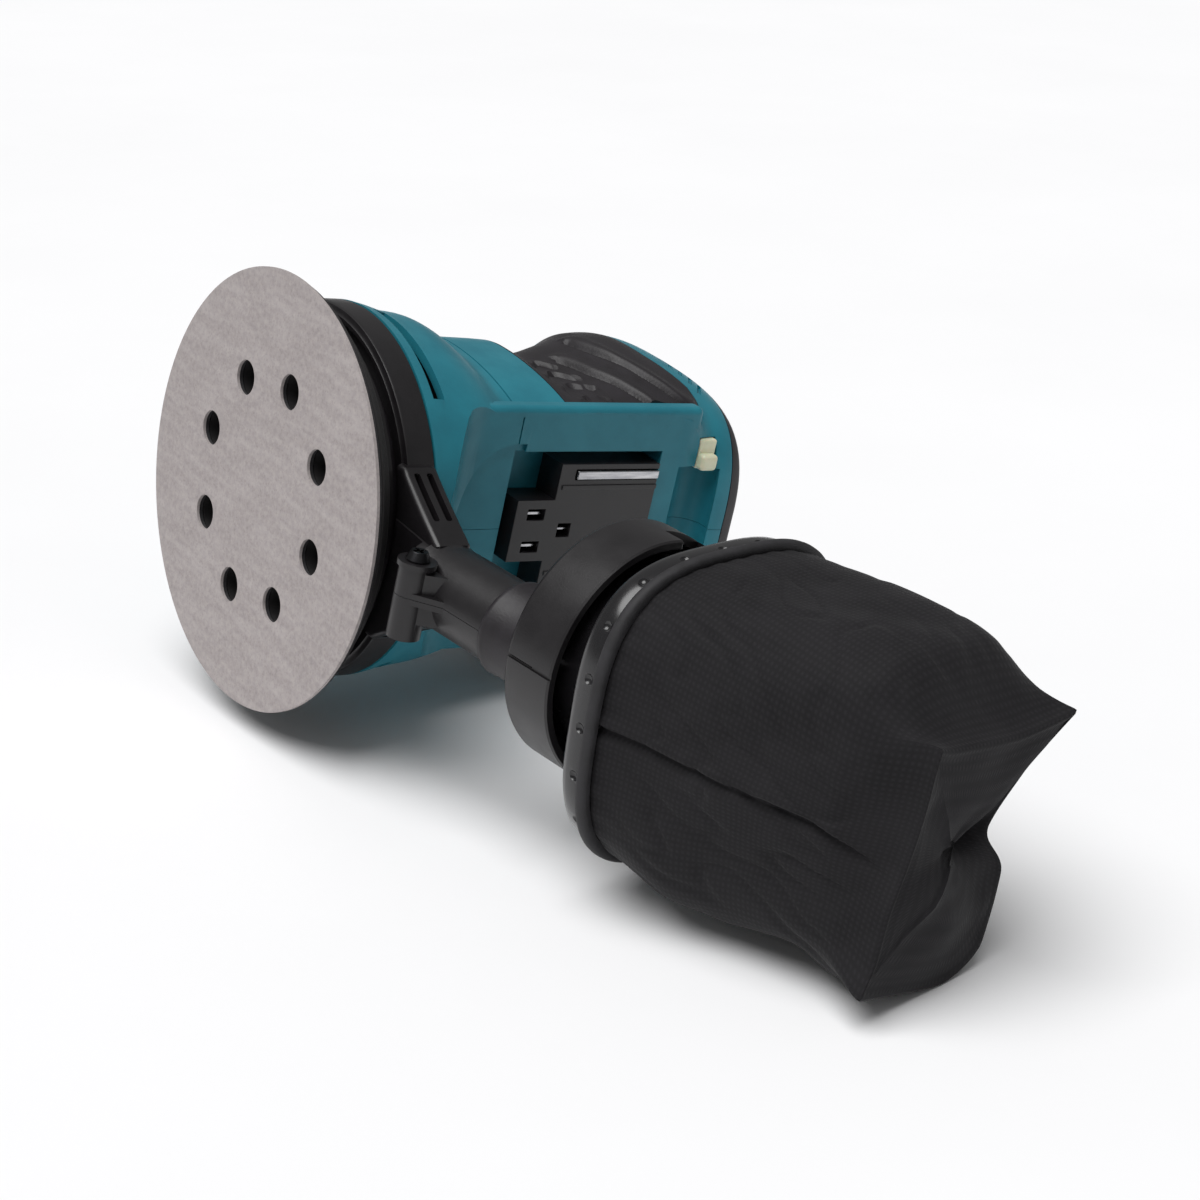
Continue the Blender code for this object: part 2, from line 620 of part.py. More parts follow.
def housing_screws():
    """Pan-head screws that run towards -Y and hold the two halves of the casing together."""
    seat = SCREW_SEAT
    for k, (x, z) in enumerate(CASING_SCREWS):
        name = f"housing_screw_{k + 1}"
        item = cylinder(name, 3.0, (x, seat, z), (x, seat + 2.2, z), BLACK_STEEL, 16, 2.2)
        join(item, cylinder(name + "_shank", 1.5, (x, -12.5, z), (x, seat + 0.5, z), segments=10))
        for part, wide, tall in (("slot", 1.9, 0.4), ("cross", 0.4, 1.9)):
            reach = (x - wide, seat + 1.0, z - tall), (x + wide, seat + 4, z + tall)
            cut(item, box(f"{name}_{part}", *reach))


def electronics():
    board = box("controller_board", (-33.2, -11.0, 96.0), (-31.6, 11.0, 124.0), CIRCUIT_BOARD)
    chip = box("board_chip", (-32.0, -6, 106), (-29.4, 6, 118))
    join(board, chip)

    low, shoulder, high = 64.0, 77.0, 113.0
    narrow, wide = 9.5, 20.5
    outline = [
        (-narrow, low), (narrow, low), (narrow, shoulder), (wide, shoulder), (wide, high), (-wide, high),
        (-wide, shoulder), (-narrow, shoulder),
    ]
    block = prism("terminal_block", outline, BAY_FLOOR + GAP, 36.2, BLACK_NYLON, "X")
    for name, y in (("contact_positive", -5.0), ("contact_negative", 5.0)):
        cut(block, box(name + "_window", (29.4, y - 1.7, 68.4), (40, y + 1.7, 74.4)))
        box(name, (29.7, y - 0.5, 68.8), (34.8, y + 0.5, 74.0), STEEL)
    cut(block, box("signal_window", (29.4, -2.1, 80.0), (40, 2.1, 84.6)))
    box("contact_signal", (29.7, -0.4, 80.4), (34.8, 0.4, 84.2), STEEL)
    for name, side in (("left", -1), ("right", 1)):
        near, far = sorted((side * 15.6, side * 18.8))
        cut(block, box(f"rail_groove_{name}", (33.0, near, 82.6), (40, far, 120)))
        near, far = sorted((side * 15.9, side * 18.5))
        box(f"battery_rail_{name}", (33.3, near, 82.9), (36.9, far, 112.8), STEEL)
        near, far = sorted((side * 18.3, side * 27.6))
        cushion = box(f"battery_cushion_{name}", (31.0, near, 127.6), (37.8, far, 134.0), NATURAL_NYLON)
        round_edges(cushion, 1.0)


# --- Dust skirt and nozzle ------------------------------------------------------------------------


def nozzle_point(x):
    return (x, 0.0, NOZZLE_HEIGHT + math.tan(NOZZLE_TILT) * x)


def neck_outline(inset, front, rear):
    """The neck seen from above: it runs in from the round skirt to the nozzle's width."""
    wide, narrow = 25.0 - inset, NOZZLE_RADIUS - inset
    return [(front, -wide), (49.5, -wide), (rear, -narrow), (rear, narrow), (49.5, wide), (front, wide)]


def skirt():
    """The ring around the pad, the neck that gathers the dust and the nozzle that carries it out."""
    inner = SKIRT_RADIUS - SKIRT_WALL
    side = [
        (SKIRT_RADIUS, SKIRT_TOP), (SKIRT_RADIUS, SKIRT_LOW + 0.8), (52.8, SKIRT_LOW + 0.6), (52.0, SKIRT_LOW),
        (inner, SKIRT_LOW), (inner, 17.4), (45.8, 17.4), (45.8, 18.7), (41.2, 18.7), (41.2, 17.4), (39.4, 17.4),
        (39.4, 19.6), (inner, 19.6), (inner, SKIRT_TOP),
    ]
    shell = turned("skirt", side, None, (0, 0), 56)
    outlet = prism("skirt_neck", neck_outline(0.0, 44.0, 72.0), 13.6, SKIRT_TOP - 0.2)
    join(
        outlet,
        cylinder("nozzle_tube", NOZZLE_RADIUS, nozzle_point(50.0), nozzle_point(106.8), segments=32),
        cylinder("clamp_boss", BOSS_RADIUS, (BOSS_X, -8.4, BOSS_Z), (BOSS_X, 12.0, BOSS_Z), segments=24),
        cylinder("boss_flange", 5.3, (BOSS_X, -9.4, BOSS_Z), (BOSS_X, -8.0, BOSS_Z), segments=24),
        box("boss_web", (BOSS_X - 2.4, -7.0, BOSS_Z), (BOSS_X + 9.0, 7.0, BOSS_Z + 8)),
    )
    cut(
        outlet,
        disc("chamber", SKIRT_RADIUS - 1.5, 0.0, 40.0, None, (0, 0), 56),
        disc("pad_room", 66.6, -5.0, 13.2, None, (0, 0), 64),
        disc("casing_room", SKIRT_RADIUS + 0.4, SKIRT_TOP - 0.1, 60.0, None, (0, 0), 64),
    )
    join(shell, outlet)
    duct = prism("neck_duct", neck_outline(2.6, 48.0, 73.0), 16.0, SKIRT_TOP - 2.4)
    bore = cylinder("nozzle_bore", NOZZLE_BORE, nozzle_point(68.4), nozzle_point(120.0), segments=28)
    cut(shell, duct, bore)

    for k, height in enumerate((17.3, 21.3)):
        for name, side in (("left", -1), ("right", 1)):
            slot = box(f"neck_slot_{name}_{k}", (-8.0, -2.5, -0.95), (8.0, 2.5, 0.95))
            slot.location = (57.4 * MM, side * 19.1 * MM, height * MM)
            slot.rotation_euler = (0, 0, side * math.radians(-30.2))
            cut(shell, slot)
    cut(shell, cylinder("clamp_screw_hole", 2.0, (BOSS_X, -20, BOSS_Z), (BOSS_X, 9.6, BOSS_Z), segments=12))
    split_left_right(shell, "skirt_left", "skirt_right", BLACK_NYLON)
    ring("pad_brake_ring", 45.5, 41.5, PLATE_TOP + GAP, 18.4, BLACK_RUBBER, (0, 0), 48)

    head_low, head_high = -9.7, -12.1
    ends = (BOSS_X, head_low, BOSS_Z), (BOSS_X, head_high, BOSS_Z)
    bolt = cylinder("clamp_screw", 3.4, *ends, BLACK_STEEL, 24, 2.4)
    join(bolt, cylinder("clamp_shank", 1.7, (BOSS_X, head_low - 1, BOSS_Z), (BOSS_X, 9.2, BOSS_Z), segments=16))
    for name, size in (("a", (3.6, 0.9)), ("b", (0.9, 3.6))):
        reach = [(BOSS_X - size[0] / 2, -13, BOSS_Z - size[1] / 2), (BOSS_X + size[0] / 2, -10.8, BOSS_Z + size[1] / 2)]
        cut(bolt, box(f"clamp_cross_{name}", *reach))


# --- Collar, bag frame and dust bag ---------------------------------------------------------------


def bag_axis(roll=0.0):
    """Local +Z runs back along the collar's axis, and local +X points down."""
    place = Matrix.Translation(Vector((COLLAR_X, 0.0, COLLAR_Z)) * MM)
    return place @ Matrix.Rotation(math.pi / 2 - NOZZLE_TILT, 4, "Y") @ Matrix.Rotation(roll, 4, "Z")


def square_ring(half_down, half_side, along, middle=0.0, points=32):
    """A rounded square in the collar's frame, as a superellipse."""
    ring_points = []
    for k in range(points):
        angle = k * math.tau / points
        c, s = math.cos(angle), math.sin(angle)
        power = 2.0 / FRAME_SQUARENESS
        down = middle + half_down * math.copysign(abs(c) ** power, c)
        side = half_side * math.copysign(abs(s) ** power, s)
        ring_points.append((down, side, along))
    return ring_points


def square_solid(name, half, low, high, material=None):
    return loft(name, [square_ring(half, half, low), square_ring(half, half, high)], material)


def collar():
    """The round collar that slides over the nozzle's end, and the rubber sleeve that grips it."""
    drop = (COLLAR_Z - nozzle_point(COLLAR_X)[2]) * math.cos(NOZZLE_TILT)
    sleeve = ring("inlet_sleeve", 12.8, 11.9, -11.6, 2.1, BLACK_RUBBER, (0, 0), 32)
    sleeve.matrix_world = bag_axis() @ Matrix.Translation((drop * MM, 0, 0))

    end, inner = COLLAR_LENGTH, COLLAR_RADIUS - 2.5
    drum = disc("collar", COLLAR_RADIUS, 0.0, end, BLACK_NYLON, (0, 0), 44)
    hollow = disc("collar_hollow", inner, 2.4, 30.0, None, (0, 0), 40)
    inlet = cylinder("collar_inlet", 13.1, (drop, 0, -5), (drop, 0, 10), segments=28)
    notch = box("collar_notch", (-16.5, -60, end - 7.0), (-3.0, -20, 30))
    for piece in (drum, hollow, inlet, notch):
        piece.matrix_world = bag_axis()
    cut(drum, hollow, inlet, notch)


def sack(name, inset, stations, material=None):
    rings = [
        square_ring(down - inset, side - inset, along, middle) for along, down, side, middle in stations
    ]
    return loft(name, rings, material)


def bag():
    """The square frame with the spigot that turns in the collar, and the cloth bag bound to its rim."""
    frame = square_solid("bag_frame", FRAME_HALF, FRAME_START, FRAME_END, BLACK_NYLON)
    tray = square_solid("frame_tray", FRAME_HALF - 2.4, FRAME_START + 2.6, FRAME_END + 5)
    spigot = cylinder("frame_spigot", 27.6, (0, 0, 3.2), (0, 0, FRAME_START + 1), segments=36)
    stop = cylinder("frame_stop", 30.9, (0, 0, 3.2), (0, 0, 8.0), segments=36)
    mouth = cylinder("frame_mouth", 25.4, (0, 0, -5), (0, 0, 60), segments=36)
    join(frame, spigot, stop)
    cut(frame, tray, mouth)

    wall, front = 1.4, FRAME_END + GAP
    stations = (
        (front, 37.6, 38.4, 0.0), (46.0, 39.6, 41.0, 0.0), (80.0, 37.4, 43.4, -1.6),
        (104.0, 32.4, 41.4, -4.0), (118.0, 27.6, 36.6, -6.0), (BAG_END, 21.0, 30.0, -7.0),
    )
    cloth = sack("dust_bag", 0.0, stations, CLOTH)
    inside = [(front - 4.0, *stations[0][1:]), *stations[1:-1], (BAG_END - wall, *stations[-1][1:])]
    room = sack("dust_bag_room", wall, inside)
    cut(cloth, room)
    for piece in (frame, tray, spigot, stop, mouth, cloth, room):
        piece.matrix_world = bag_axis(BAG_ROLL)


def shade_smooth(item):
    """Applies the item's modifiers and smooths every edge but the sharp ones."""
    bpy.context.view_layer.update()
    seen = item.evaluated_get(bpy.context.evaluated_depsgraph_get())
    mesh = bpy.data.meshes.new_from_object(seen)
    mesh.shade_smooth()
    mesh.set_sharp_from_angle(angle=math.radians(32))
    item.modifiers.clear()
    item.data = mesh


sanding_pad()
eccentric()
fan()
armature()
motor_frame()
brush_gear()
casing()
grips()
switch_panel()
housing_screws()
electronics()
skirt()
collar()
bag()
for part in PARTS.objects:
    shade_smooth(part)
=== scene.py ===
import json
import math

import bmesh
import bpy
from mathutils import Matrix, Vector, noise

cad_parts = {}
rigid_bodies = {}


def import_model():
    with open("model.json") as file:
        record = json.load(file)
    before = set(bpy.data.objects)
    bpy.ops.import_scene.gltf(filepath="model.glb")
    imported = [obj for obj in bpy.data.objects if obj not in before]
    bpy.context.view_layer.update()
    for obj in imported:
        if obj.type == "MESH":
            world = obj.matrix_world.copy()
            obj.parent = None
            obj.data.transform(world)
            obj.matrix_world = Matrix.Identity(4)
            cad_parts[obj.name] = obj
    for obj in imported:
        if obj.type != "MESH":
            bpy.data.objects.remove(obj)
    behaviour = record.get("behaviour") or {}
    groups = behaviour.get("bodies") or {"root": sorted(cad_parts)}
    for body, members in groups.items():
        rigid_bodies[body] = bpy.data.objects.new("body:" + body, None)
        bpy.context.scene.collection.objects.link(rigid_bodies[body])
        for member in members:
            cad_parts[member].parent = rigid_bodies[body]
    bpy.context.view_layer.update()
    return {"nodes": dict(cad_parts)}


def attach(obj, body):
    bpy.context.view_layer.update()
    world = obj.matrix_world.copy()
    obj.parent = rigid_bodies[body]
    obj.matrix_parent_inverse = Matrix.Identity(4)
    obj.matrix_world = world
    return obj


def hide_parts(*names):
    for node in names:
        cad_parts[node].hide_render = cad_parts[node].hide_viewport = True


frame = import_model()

# --- Abrasive disc --------------------------------------------------------------------------------
# A 125 mm disc of stearated aluminium-oxide paper with eight dust holes, die cut, pressed onto the
# hooks of the pad. The pale coating lies in tiny islands over the grit.

MM = 0.001
PAD_CENTRE = (1.4, 0.0)
HOLE_CIRCLE, HOLE_PHASE = 32.5, math.radians(12.8)


def linear(code):
    """An sRGB hex colour as linear red, green, blue and alpha."""
    parts = [int(code[k:k + 2], 16) / 255 for k in (1, 3, 5)]
    return (*[p / 12.92 if p <= 0.04045 else ((p + 0.055) / 1.055) ** 2.4 for p in parts], 1.0)


def add_node(tree, kind, inputs=None, **settings):
    """Adds a node, sets it, and gives its inputs values or other nodes' outputs."""
    node = tree.nodes.new("ShaderNode" + kind)
    for key, value in settings.items():
        setattr(node, key, value)
    for key, value in (inputs or {}).items():
        if isinstance(value, bpy.types.NodeSocket):
            tree.links.new(value, node.inputs[key])
        else:
            node.inputs[key].default_value = value
    return node


def finish_of(name, colour, second, roughness, mottle, grain, depth, metallic=0.0, spread=0.08,
              stretch=(1, 1, 1),
              sockets=None):
    """A surface with two close colours in soft patches and a fine grain, all sizes in millimetres."""
    material = bpy.data.materials.new(name)
    material.use_nodes = True
    tree = material.node_tree
    shader = tree.nodes["Principled BSDF"]
    shader.inputs["Metallic"].default_value = metallic
    for socket, value in (sockets or {}).items():
        shader.inputs[socket].default_value = value
    place = add_node(tree, "TexCoord").outputs["Object"]
    place = add_node(tree, "Mapping", {"Vector": place, "Scale": stretch}).outputs["Vector"]
    patches = add_node(tree, "TexNoise", {"Vector": place, "Scale": 1 / (mottle * MM), "Detail": 5.0,
                                          "Roughness": 0.6})
    share = add_node(tree, "MapRange", {"Value": patches.outputs["Fac"], "From Min": 0.35, "From Max": 0.65})
    mixed = add_node(
        tree, "Mix", {0: share.outputs["Result"], 6: linear(colour), 7: linear(second)}, data_type="RGBA",
    )
    tree.links.new(mixed.outputs[2], shader.inputs["Base Color"])
    rough = add_node(tree, "MapRange", {
        "Value": share.outputs["Result"], "To Min": roughness - spread / 2, "To Max": roughness + spread / 2,
    })
    tree.links.new(rough.outputs["Result"], shader.inputs["Roughness"])
    grains = add_node(tree, "TexNoise", {"Vector": place, "Scale": 1 / (grain * MM), "Detail": 3.0,
                                         "Roughness": 0.55})
    bump = add_node(tree, "Bump", {"Height": grains.outputs["Fac"], "Distance": depth * MM, "Strength": 1.0})
    tree.links.new(bump.outputs["Normal"], shader.inputs["Normal"])
    return material


def rod(radius, start, end, segments=64, end_radius=None):
    """A round bar or cone from one point to another."""
    start, end = Vector(start) * MM, Vector(end) * MM
    shape = bmesh.new()
    bmesh.ops.create_cone(
        shape, cap_ends=True, segments=segments, depth=(end - start).length, radius1=radius * MM,
        radius2=(radius if end_radius is None else end_radius) * MM,
    )
    turn = Vector((0, 0, 1)).rotation_difference(end - start).to_matrix()
    bmesh.ops.rotate(shape, cent=(0, 0, 0), matrix=turn, verts=shape.verts)
    bmesh.ops.translate(shape, vec=(start + end) / 2, verts=shape.verts)
    return shape


def disc(radius, low, high, centre=(0.0, 0.0), segments=128):
    return rod(radius, (*centre, low), (*centre, high), segments)


def dust_holes(radius, low=-5, high=20):
    places = [HOLE_PHASE + k * math.tau / 8 for k in range(8)]
    return [
        disc(radius, low, high, (PAD_CENTRE[0] + HOLE_CIRCLE * math.cos(a), HOLE_CIRCLE * math.sin(a)), 48)
        for a in places
    ]


def made(name, shape):
    """The shape as an object, its faces pointing outwards."""
    bmesh.ops.recalc_face_normals(shape, faces=shape.faces)
    mesh = bpy.data.meshes.new(name)
    shape.to_mesh(mesh)
    shape.free()
    item = bpy.data.objects.new(name, mesh)
    bpy.context.scene.collection.objects.link(item)
    return item


def settle(item):
    """Applies an object's modifiers."""
    bpy.context.view_layer.update()
    seen = item.evaluated_get(bpy.context.evaluated_depsgraph_get())
    mesh = bpy.data.meshes.new_from_object(seen)
    item.modifiers.clear()
    item.data = mesh


def combine(item, operation, shapes, solver="EXACT"):
    """Cuts, joins or keeps the overlap of the object with each shape."""
    tools = [made(f"{item.name}_tool_{k}", shape) for k, shape in enumerate(shapes)]
    for tool in tools:
        modifier = item.modifiers.new("shape", "BOOLEAN")
        modifier.operation, modifier.solver, modifier.object = operation, solver, tool
    settle(item)
    for tool in tools:
        bpy.data.objects.remove(tool)
    return item


def fitted(item, material, body, slot, *nodes, edge=0.0, sharp=32):
    """Rounds the edges, smooths the rest, gives the finish, and sets the piece on its body."""
    item.data.materials.clear()
    item.data.materials.append(material)
    if edge:
        bevel = item.modifiers.new("edge", "BEVEL")
        bevel.width, bevel.segments = edge * MM, 2
        bevel.limit_method, bevel.angle_limit = "ANGLE", math.radians(38)
        bevel.harden_normals = False
        settle(item)
    item.data.shade_smooth()
    item.data.set_sharp_from_angle(angle=math.radians(sharp))
    if edge:
        weighted = item.modifiers.new("normals", "WEIGHTED_NORMAL")
        weighted.keep_sharp = True
    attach(item, body)
    if nodes:
        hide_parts(*nodes)
    return item


# Coated abrasive paper: a matt stearate film in islands of about a millimetre over grey grit.
paper = finish_of("abrasive_paper_stearate_coated", "#A79F9D", "#979090", 0.84, 1.8, 0.55, 0.08)


def add_streaks(material):
    """Lighter diagonal rows that the coating roller left, and single dark grains."""
    tree = material.node_tree
    shader = tree.nodes["Principled BSDF"]
    colour = shader.inputs["Base Color"].links[0].from_socket
    place = add_node(tree, "TexCoord").outputs["Object"]
    rows = add_node(tree, "Mapping", {"Vector": place, "Rotation": (0, 0, 0.6), "Scale": (0.18, 1.0, 1.0)})
    streaks = add_node(tree, "TexNoise", {"Vector": rows.outputs[0], "Scale": 1 / (3.5 * MM), "Detail": 4.0})
    share = add_node(tree, "MapRange", {
        "Value": streaks.outputs["Fac"], "From Min": 0.42, "From Max": 0.68, "To Max": 0.38,
    })
    pale = add_node(tree, "Mix", {0: share.outputs["Result"], 6: colour, 7: linear("#B9B2B1")},
                    data_type="RGBA")
    grains = add_node(tree, "TexVoronoi", {"Vector": place, "Scale": 1 / (1.1 * MM)})
    dots = add_node(tree, "MapRange", {
        "Value": grains.outputs["Distance"], "From Min": 0.1, "From Max": 0.42, "To Min": 0.3, "To Max": 0.0,
    })
    dark = add_node(tree, "Mix", {0: dots.outputs["Result"], 6: pale.outputs[2], 7: linear("#7C7574")},
                    data_type="RGBA")
    tree.links.new(dark.outputs[2], shader.inputs["Base Color"])


add_streaks(paper)
sheet_disc = made("sanding_disc", disc(62.5, 0.0, 1.0, PAD_CENTRE, 192))
combine(sheet_disc, "DIFFERENCE", dust_holes(5.0))
fitted(sheet_disc, paper, "pad", "abrasive_paper", "abrasive_disc", edge=0.18)

# --- Hook face and foam of the pad ----------------------------------------------------------------
# A woven face of nylon hooks is bonded to a cushion of closed-cell polyurethane foam, moulded with a
# side that leans in towards the plate. The foam gives a little under load.

HOOK_LOW, HOOK_HIGH = 1.3, 2.3
FOAM_LOW, FOAM_HIGH = 2.6, 8.6


def spun(profile, centre=(0.0, 0.0), steps=128):
    """A closed ring, or a solid where the profile starts and ends on the axis, turned about Z."""
    shape = bmesh.new()
    points = [(r + centre[0], centre[1], z) for r, z in profile]
    verts = [shape.verts.new(Vector(p) * MM) for p in points]
    edges = [shape.edges.new(pair) for pair in zip(verts, verts[1:])]
    if profile[0][0] > 0:
        edges.append(shape.edges.new((verts[-1], verts[0])))
    bmesh.ops.spin(
        shape, geom=verts + edges, angle=math.tau, steps=steps, axis=(0, 0, 1),
        cent=Vector((*centre, 0)) * MM, use_merge=True,
    )
    bmesh.ops.remove_doubles(shape, verts=shape.verts, dist=1e-7)
    return shape


# Woven nylon hooks: a dark, dull nap, drawn as a coarse 1 mm pile.
hooks = finish_of("nylon_hook_pile", "#2B2A2C", "#3A393B", 0.9, 1.5, 1.0, 0.25)
hook_disc = made("hook_pile", disc(61.5, HOOK_LOW, HOOK_HIGH, PAD_CENTRE, 160))
combine(hook_disc, "DIFFERENCE", dust_holes(5.4))
fitted(hook_disc, hooks, "pad", "hook_fabric", "hook_face", edge=0.2)

# Moulded polyurethane foam: a matt skin with pores of about 0.8 mm.
foam_skin = finish_of("polyurethane_foam_moulded", "#1B1A1A", "#262425", 0.86, 5.0, 0.8, 0.12)
foam_side = [
    (8.0, FOAM_HIGH), (54.6, FOAM_HIGH), (55.6, 8.3), (56.2, 7.6), (57.3, 6.0), (58.8, 4.6), (60.4, 3.5),
    (61.2, 3.0),
    (61.0, FOAM_LOW), (8.0, FOAM_LOW),
]
cushion = made("pad_cushion", spun(foam_side, PAD_CENTRE, 160))
combine(cushion, "DIFFERENCE", dust_holes(5.6))
fitted(cushion, foam_skin, "pad", "grey_foam", "pad_foam", sharp=50)

# --- Drive line and motor -------------------------------------------------------------------------
# The plate, spindle, bearings, counterweighted hub, fan and the brushed motor are bought-in or
# turned parts. They sit inside the casing, seen only through the vents and the dust holes.

# Glass-filled nylon, injection moulded: near black, with the satin of a fine sparked mould.
nylon = finish_of("glass_nylon_moulded", "#161416", "#1B191B", 0.38, 9.0, 0.5, 0.03)
# Turned steel: bright, with fine lathe rings that blur the reflections.
steel = finish_of("steel_turned", "#B9BABD", "#A3A4A8", 0.3, 6.0, 0.4, 0.01, 1.0, stretch=(1, 1, 6))
# Oxide-blackened steel: a dark, oily satin.
black_steel = finish_of("steel_black_oxide", "#3A3A3C", "#2A2A2C", 0.36, 3.0, 0.5, 0.015, 1.0)
# Die-cast aluminium: soft grey with faint flow marks.
cast_metal = finish_of("aluminium_die_cast", "#B4B6B8", "#9C9EA0", 0.45, 4.0, 0.6, 0.03, 1.0)
# Enamelled copper wire: warm, glossy turns, each about 0.6 mm.
wire = finish_of("copper_enamelled_wire", "#B8703F", "#9C5428", 0.32, 1.2, 0.6, 0.12, 1.0,
                 stretch=(1, 1, 0.2))
# Rolled brass, stamped.
brass = finish_of("brass_stamped", "#C2A25A", "#AE8E48", 0.34, 4.0, 0.5, 0.01, 1.0)
# Pressed carbon and sintered ferrite: dull, fine grained blocks.
carbon = finish_of("carbon_pressed", "#262628", "#303033", 0.62, 2.0, 0.4, 0.02)
ferrite = finish_of("ferrite_sintered", "#3E3E42", "#4A4A4E", 0.7, 3.0, 0.5, 0.03)
# Epoxy glass board with a green solder resist, slightly glossy.
board = finish_of("glass_epoxy_board", "#1C5C3C", "#174B31", 0.38, 4.0, 0.8, 0.02)

internal = {
    "black_nylon": (nylon, ("pad_plate", "fan", "end_bell", "bearing_plate")),
    "steel": (steel, (
        "pad_spindle", "pad_bearing_inner", "pad_bearing_outer", "motor_shaft", "motor_can",
        "lower_bearing_inner",
        "lower_bearing_outer", "upper_bearing_inner", "upper_bearing_outer",
    )),
    "black_steel": (black_steel, (
        "pad_bolt", "armature_core", "housing_screw_1", "housing_screw_2", "housing_screw_3",
        "housing_screw_4",
    )),
    "aluminium": (cast_metal, ("eccentric_hub",)),
    "copper": (wire, ("armature_winding_lower", "armature_winding_upper", "commutator")),
    "brass": (brass, ("brush_holder_left", "brush_holder_right")),
    "carbon": (carbon, ("carbon_brush_left", "carbon_brush_right")),
    "ferrite": (ferrite, ("magnet_front", "magnet_rear")),
    "circuit_board": (board, ("controller_board",)),
}
for slot, (material, nodes) in internal.items():
    for node in nodes:
        piece = frame["nodes"][node]
        piece.data.materials.clear()
        piece.data.materials.append(material)

# --- Casing halves --------------------------------------------------------------------------------
# Two clamshell halves of teal ABS, injection moulded and screwed together along a parting line at
# y = 0. Outside they are one flowing form; the battery face at the rear is flat.

REAR_FACE = 35.0
BAY_HALF, BAY_LOW, BAY_HIGH, BAY_FLOOR = 24.0, 61.0, 113.6, 25.6
LATCH_RADIUS, LATCH_X, LATCH_Z = 7.3, 35.5, 128.4
CLEARANCE = 0.3
GRIP_SKIN = 2.2
# Height, half width, centre, reach to the front, reach to the rear, where the rear is cut flat.
STATIONS = (
    (25.3, 54.0, 0.0, 54.0, 54.0, 53.7),
    (29.0, 53.2, 0.0, 53.2, 54.0, 52.4),
    (35.0, 51.6, 0.0, 52.0, 54.5, 44.5),
    (41.6, 50.6, -1.0, 49.6, 56.0, 37.0),
    (48.2, 48.2, -3.0, 46.0, 59.0, REAR_FACE),
    (54.5, 44.4, -6.5, 41.0, 65.0, REAR_FACE),
    (58.0, 42.4, -8.0, 38.6, 68.0, REAR_FACE),
    (79.0, 41.6, -8.0, 38.0, 79.0, REAR_FACE),
    (84.0, 38.9, -8.0, 36.6, 110.0, REAR_FACE),
    (90.0, 37.3, -8.0, 34.6, 150.0, REAR_FACE),
    (95.6, 38.6, -8.0, 33.6, 110.0, REAR_FACE),
    (101.0, 40.6, -8.0, 33.8, 88.0, REAR_FACE),
    (107.0, 42.8, -8.0, 36.0, 74.0, REAR_FACE),
    (112.0, 44.4, -8.0, 40.4, 68.0, REAR_FACE),
    (118.5, 44.6, -8.0, 42.8, 67.0, REAR_FACE),
    (126.0, 43.6, -8.0, 42.2, 66.0, 35.9),
    (132.0, 42.0, -8.0, 40.4, 66.0, 37.6),
    (138.0, 39.6, -7.5, 38.2, 66.0, 39.4),
    (143.6, 36.6, -7.0, 34.8, 66.0, 38.6),
    (148.0, 31.8, -6.0, 29.8, 54.0, 33.4),
    (151.4, 24.4, -5.0, 22.6, 42.0, 29.6),
    (153.0, 14.0, -4.5, 13.0, 25.0, 17.6),
)


def through(places, values, place):
    """A smooth value at a place along a row of values, which never overshoots them."""
    steps = [(b - a) / (q - p) for p, q, a, b in zip(places, places[1:], values, values[1:])]
    inner = [0.0 if p * q <= 0 else 2 * p * q / (p + q) for p, q in zip(steps, steps[1:])]
    slopes = [steps[0], *inner, steps[-1]]
    k = max([i for i in range(len(places) - 1) if places[i] <= place], default=0)
    span = places[k + 1] - places[k]
    t = min((place - places[k]) / span, 1.0)
    return (
        (2 * t ** 3 - 3 * t ** 2 + 1) * values[k] + (t ** 3 - 2 * t ** 2 + t) * span * slopes[k]
        + (3 * t ** 2 - 2 * t ** 3) * values[k + 1] + (t ** 3 - t ** 2) * span * slopes[k + 1]
    )


def eased(share):
    """A share from 0 to 1, eased at both ends."""
    share = max(0.0, min(1.0, share))
    return share * share * (3 - 2 * share)


def section_at(height):
    """The casing's section at a height, on a smooth line through the stations."""
    columns = list(zip(*STATIONS))
    return (height, *[through(columns[0], column, height) for column in columns[1:]])


def casing_outline(height, inset=0.0, count=120, relief=None):
    """One outline of the casing: an oval cut flat at the rear, whose corners grow round towards the crown."""
    height, width, middle, front, rear, flat = section_at(height)
    roundness = eased((height - 122.0) / 14.0)
    corner = math.acos(min((flat - middle) / rear, 0.9995))
    start = corner + roundness * (math.radians(9) - corner)
    outline = []
    for k in range(count + 1):
        angle = start + k * (math.tau - 2 * start) / count
        c, s = math.cos(angle), math.sin(angle)
        reach = rear if c > 0 else front
        draw = inset - (relief(middle + reach * c, height) if relief else 0.0)
        x, y = min(middle + (reach - draw) * c, flat - inset), (width - draw) * s
        if c > 0 and roundness:
            bend = (abs(c) ** 3 + abs(s) ** 3) ** (-1 / 3)
            x += roundness * (middle + (flat - middle - draw) * c * bend - x)
            y += roundness * ((width - draw) * s * bend - y)
        outline.append((x, y, height))
    return outline


def next_ring(shape, ring):
    """Extrudes a closed ring of vertices and returns the new ring in the same order."""
    edges = [shape.edges.get(pair) for pair in zip(ring, ring[1:] + ring[:1])]
    grown = set(bmesh.ops.extrude_edge_only(shape, edges=edges)["geom"])
    return [next(e.other_vert(v) for e in v.link_edges if e.other_vert(v) in grown) for v in ring]


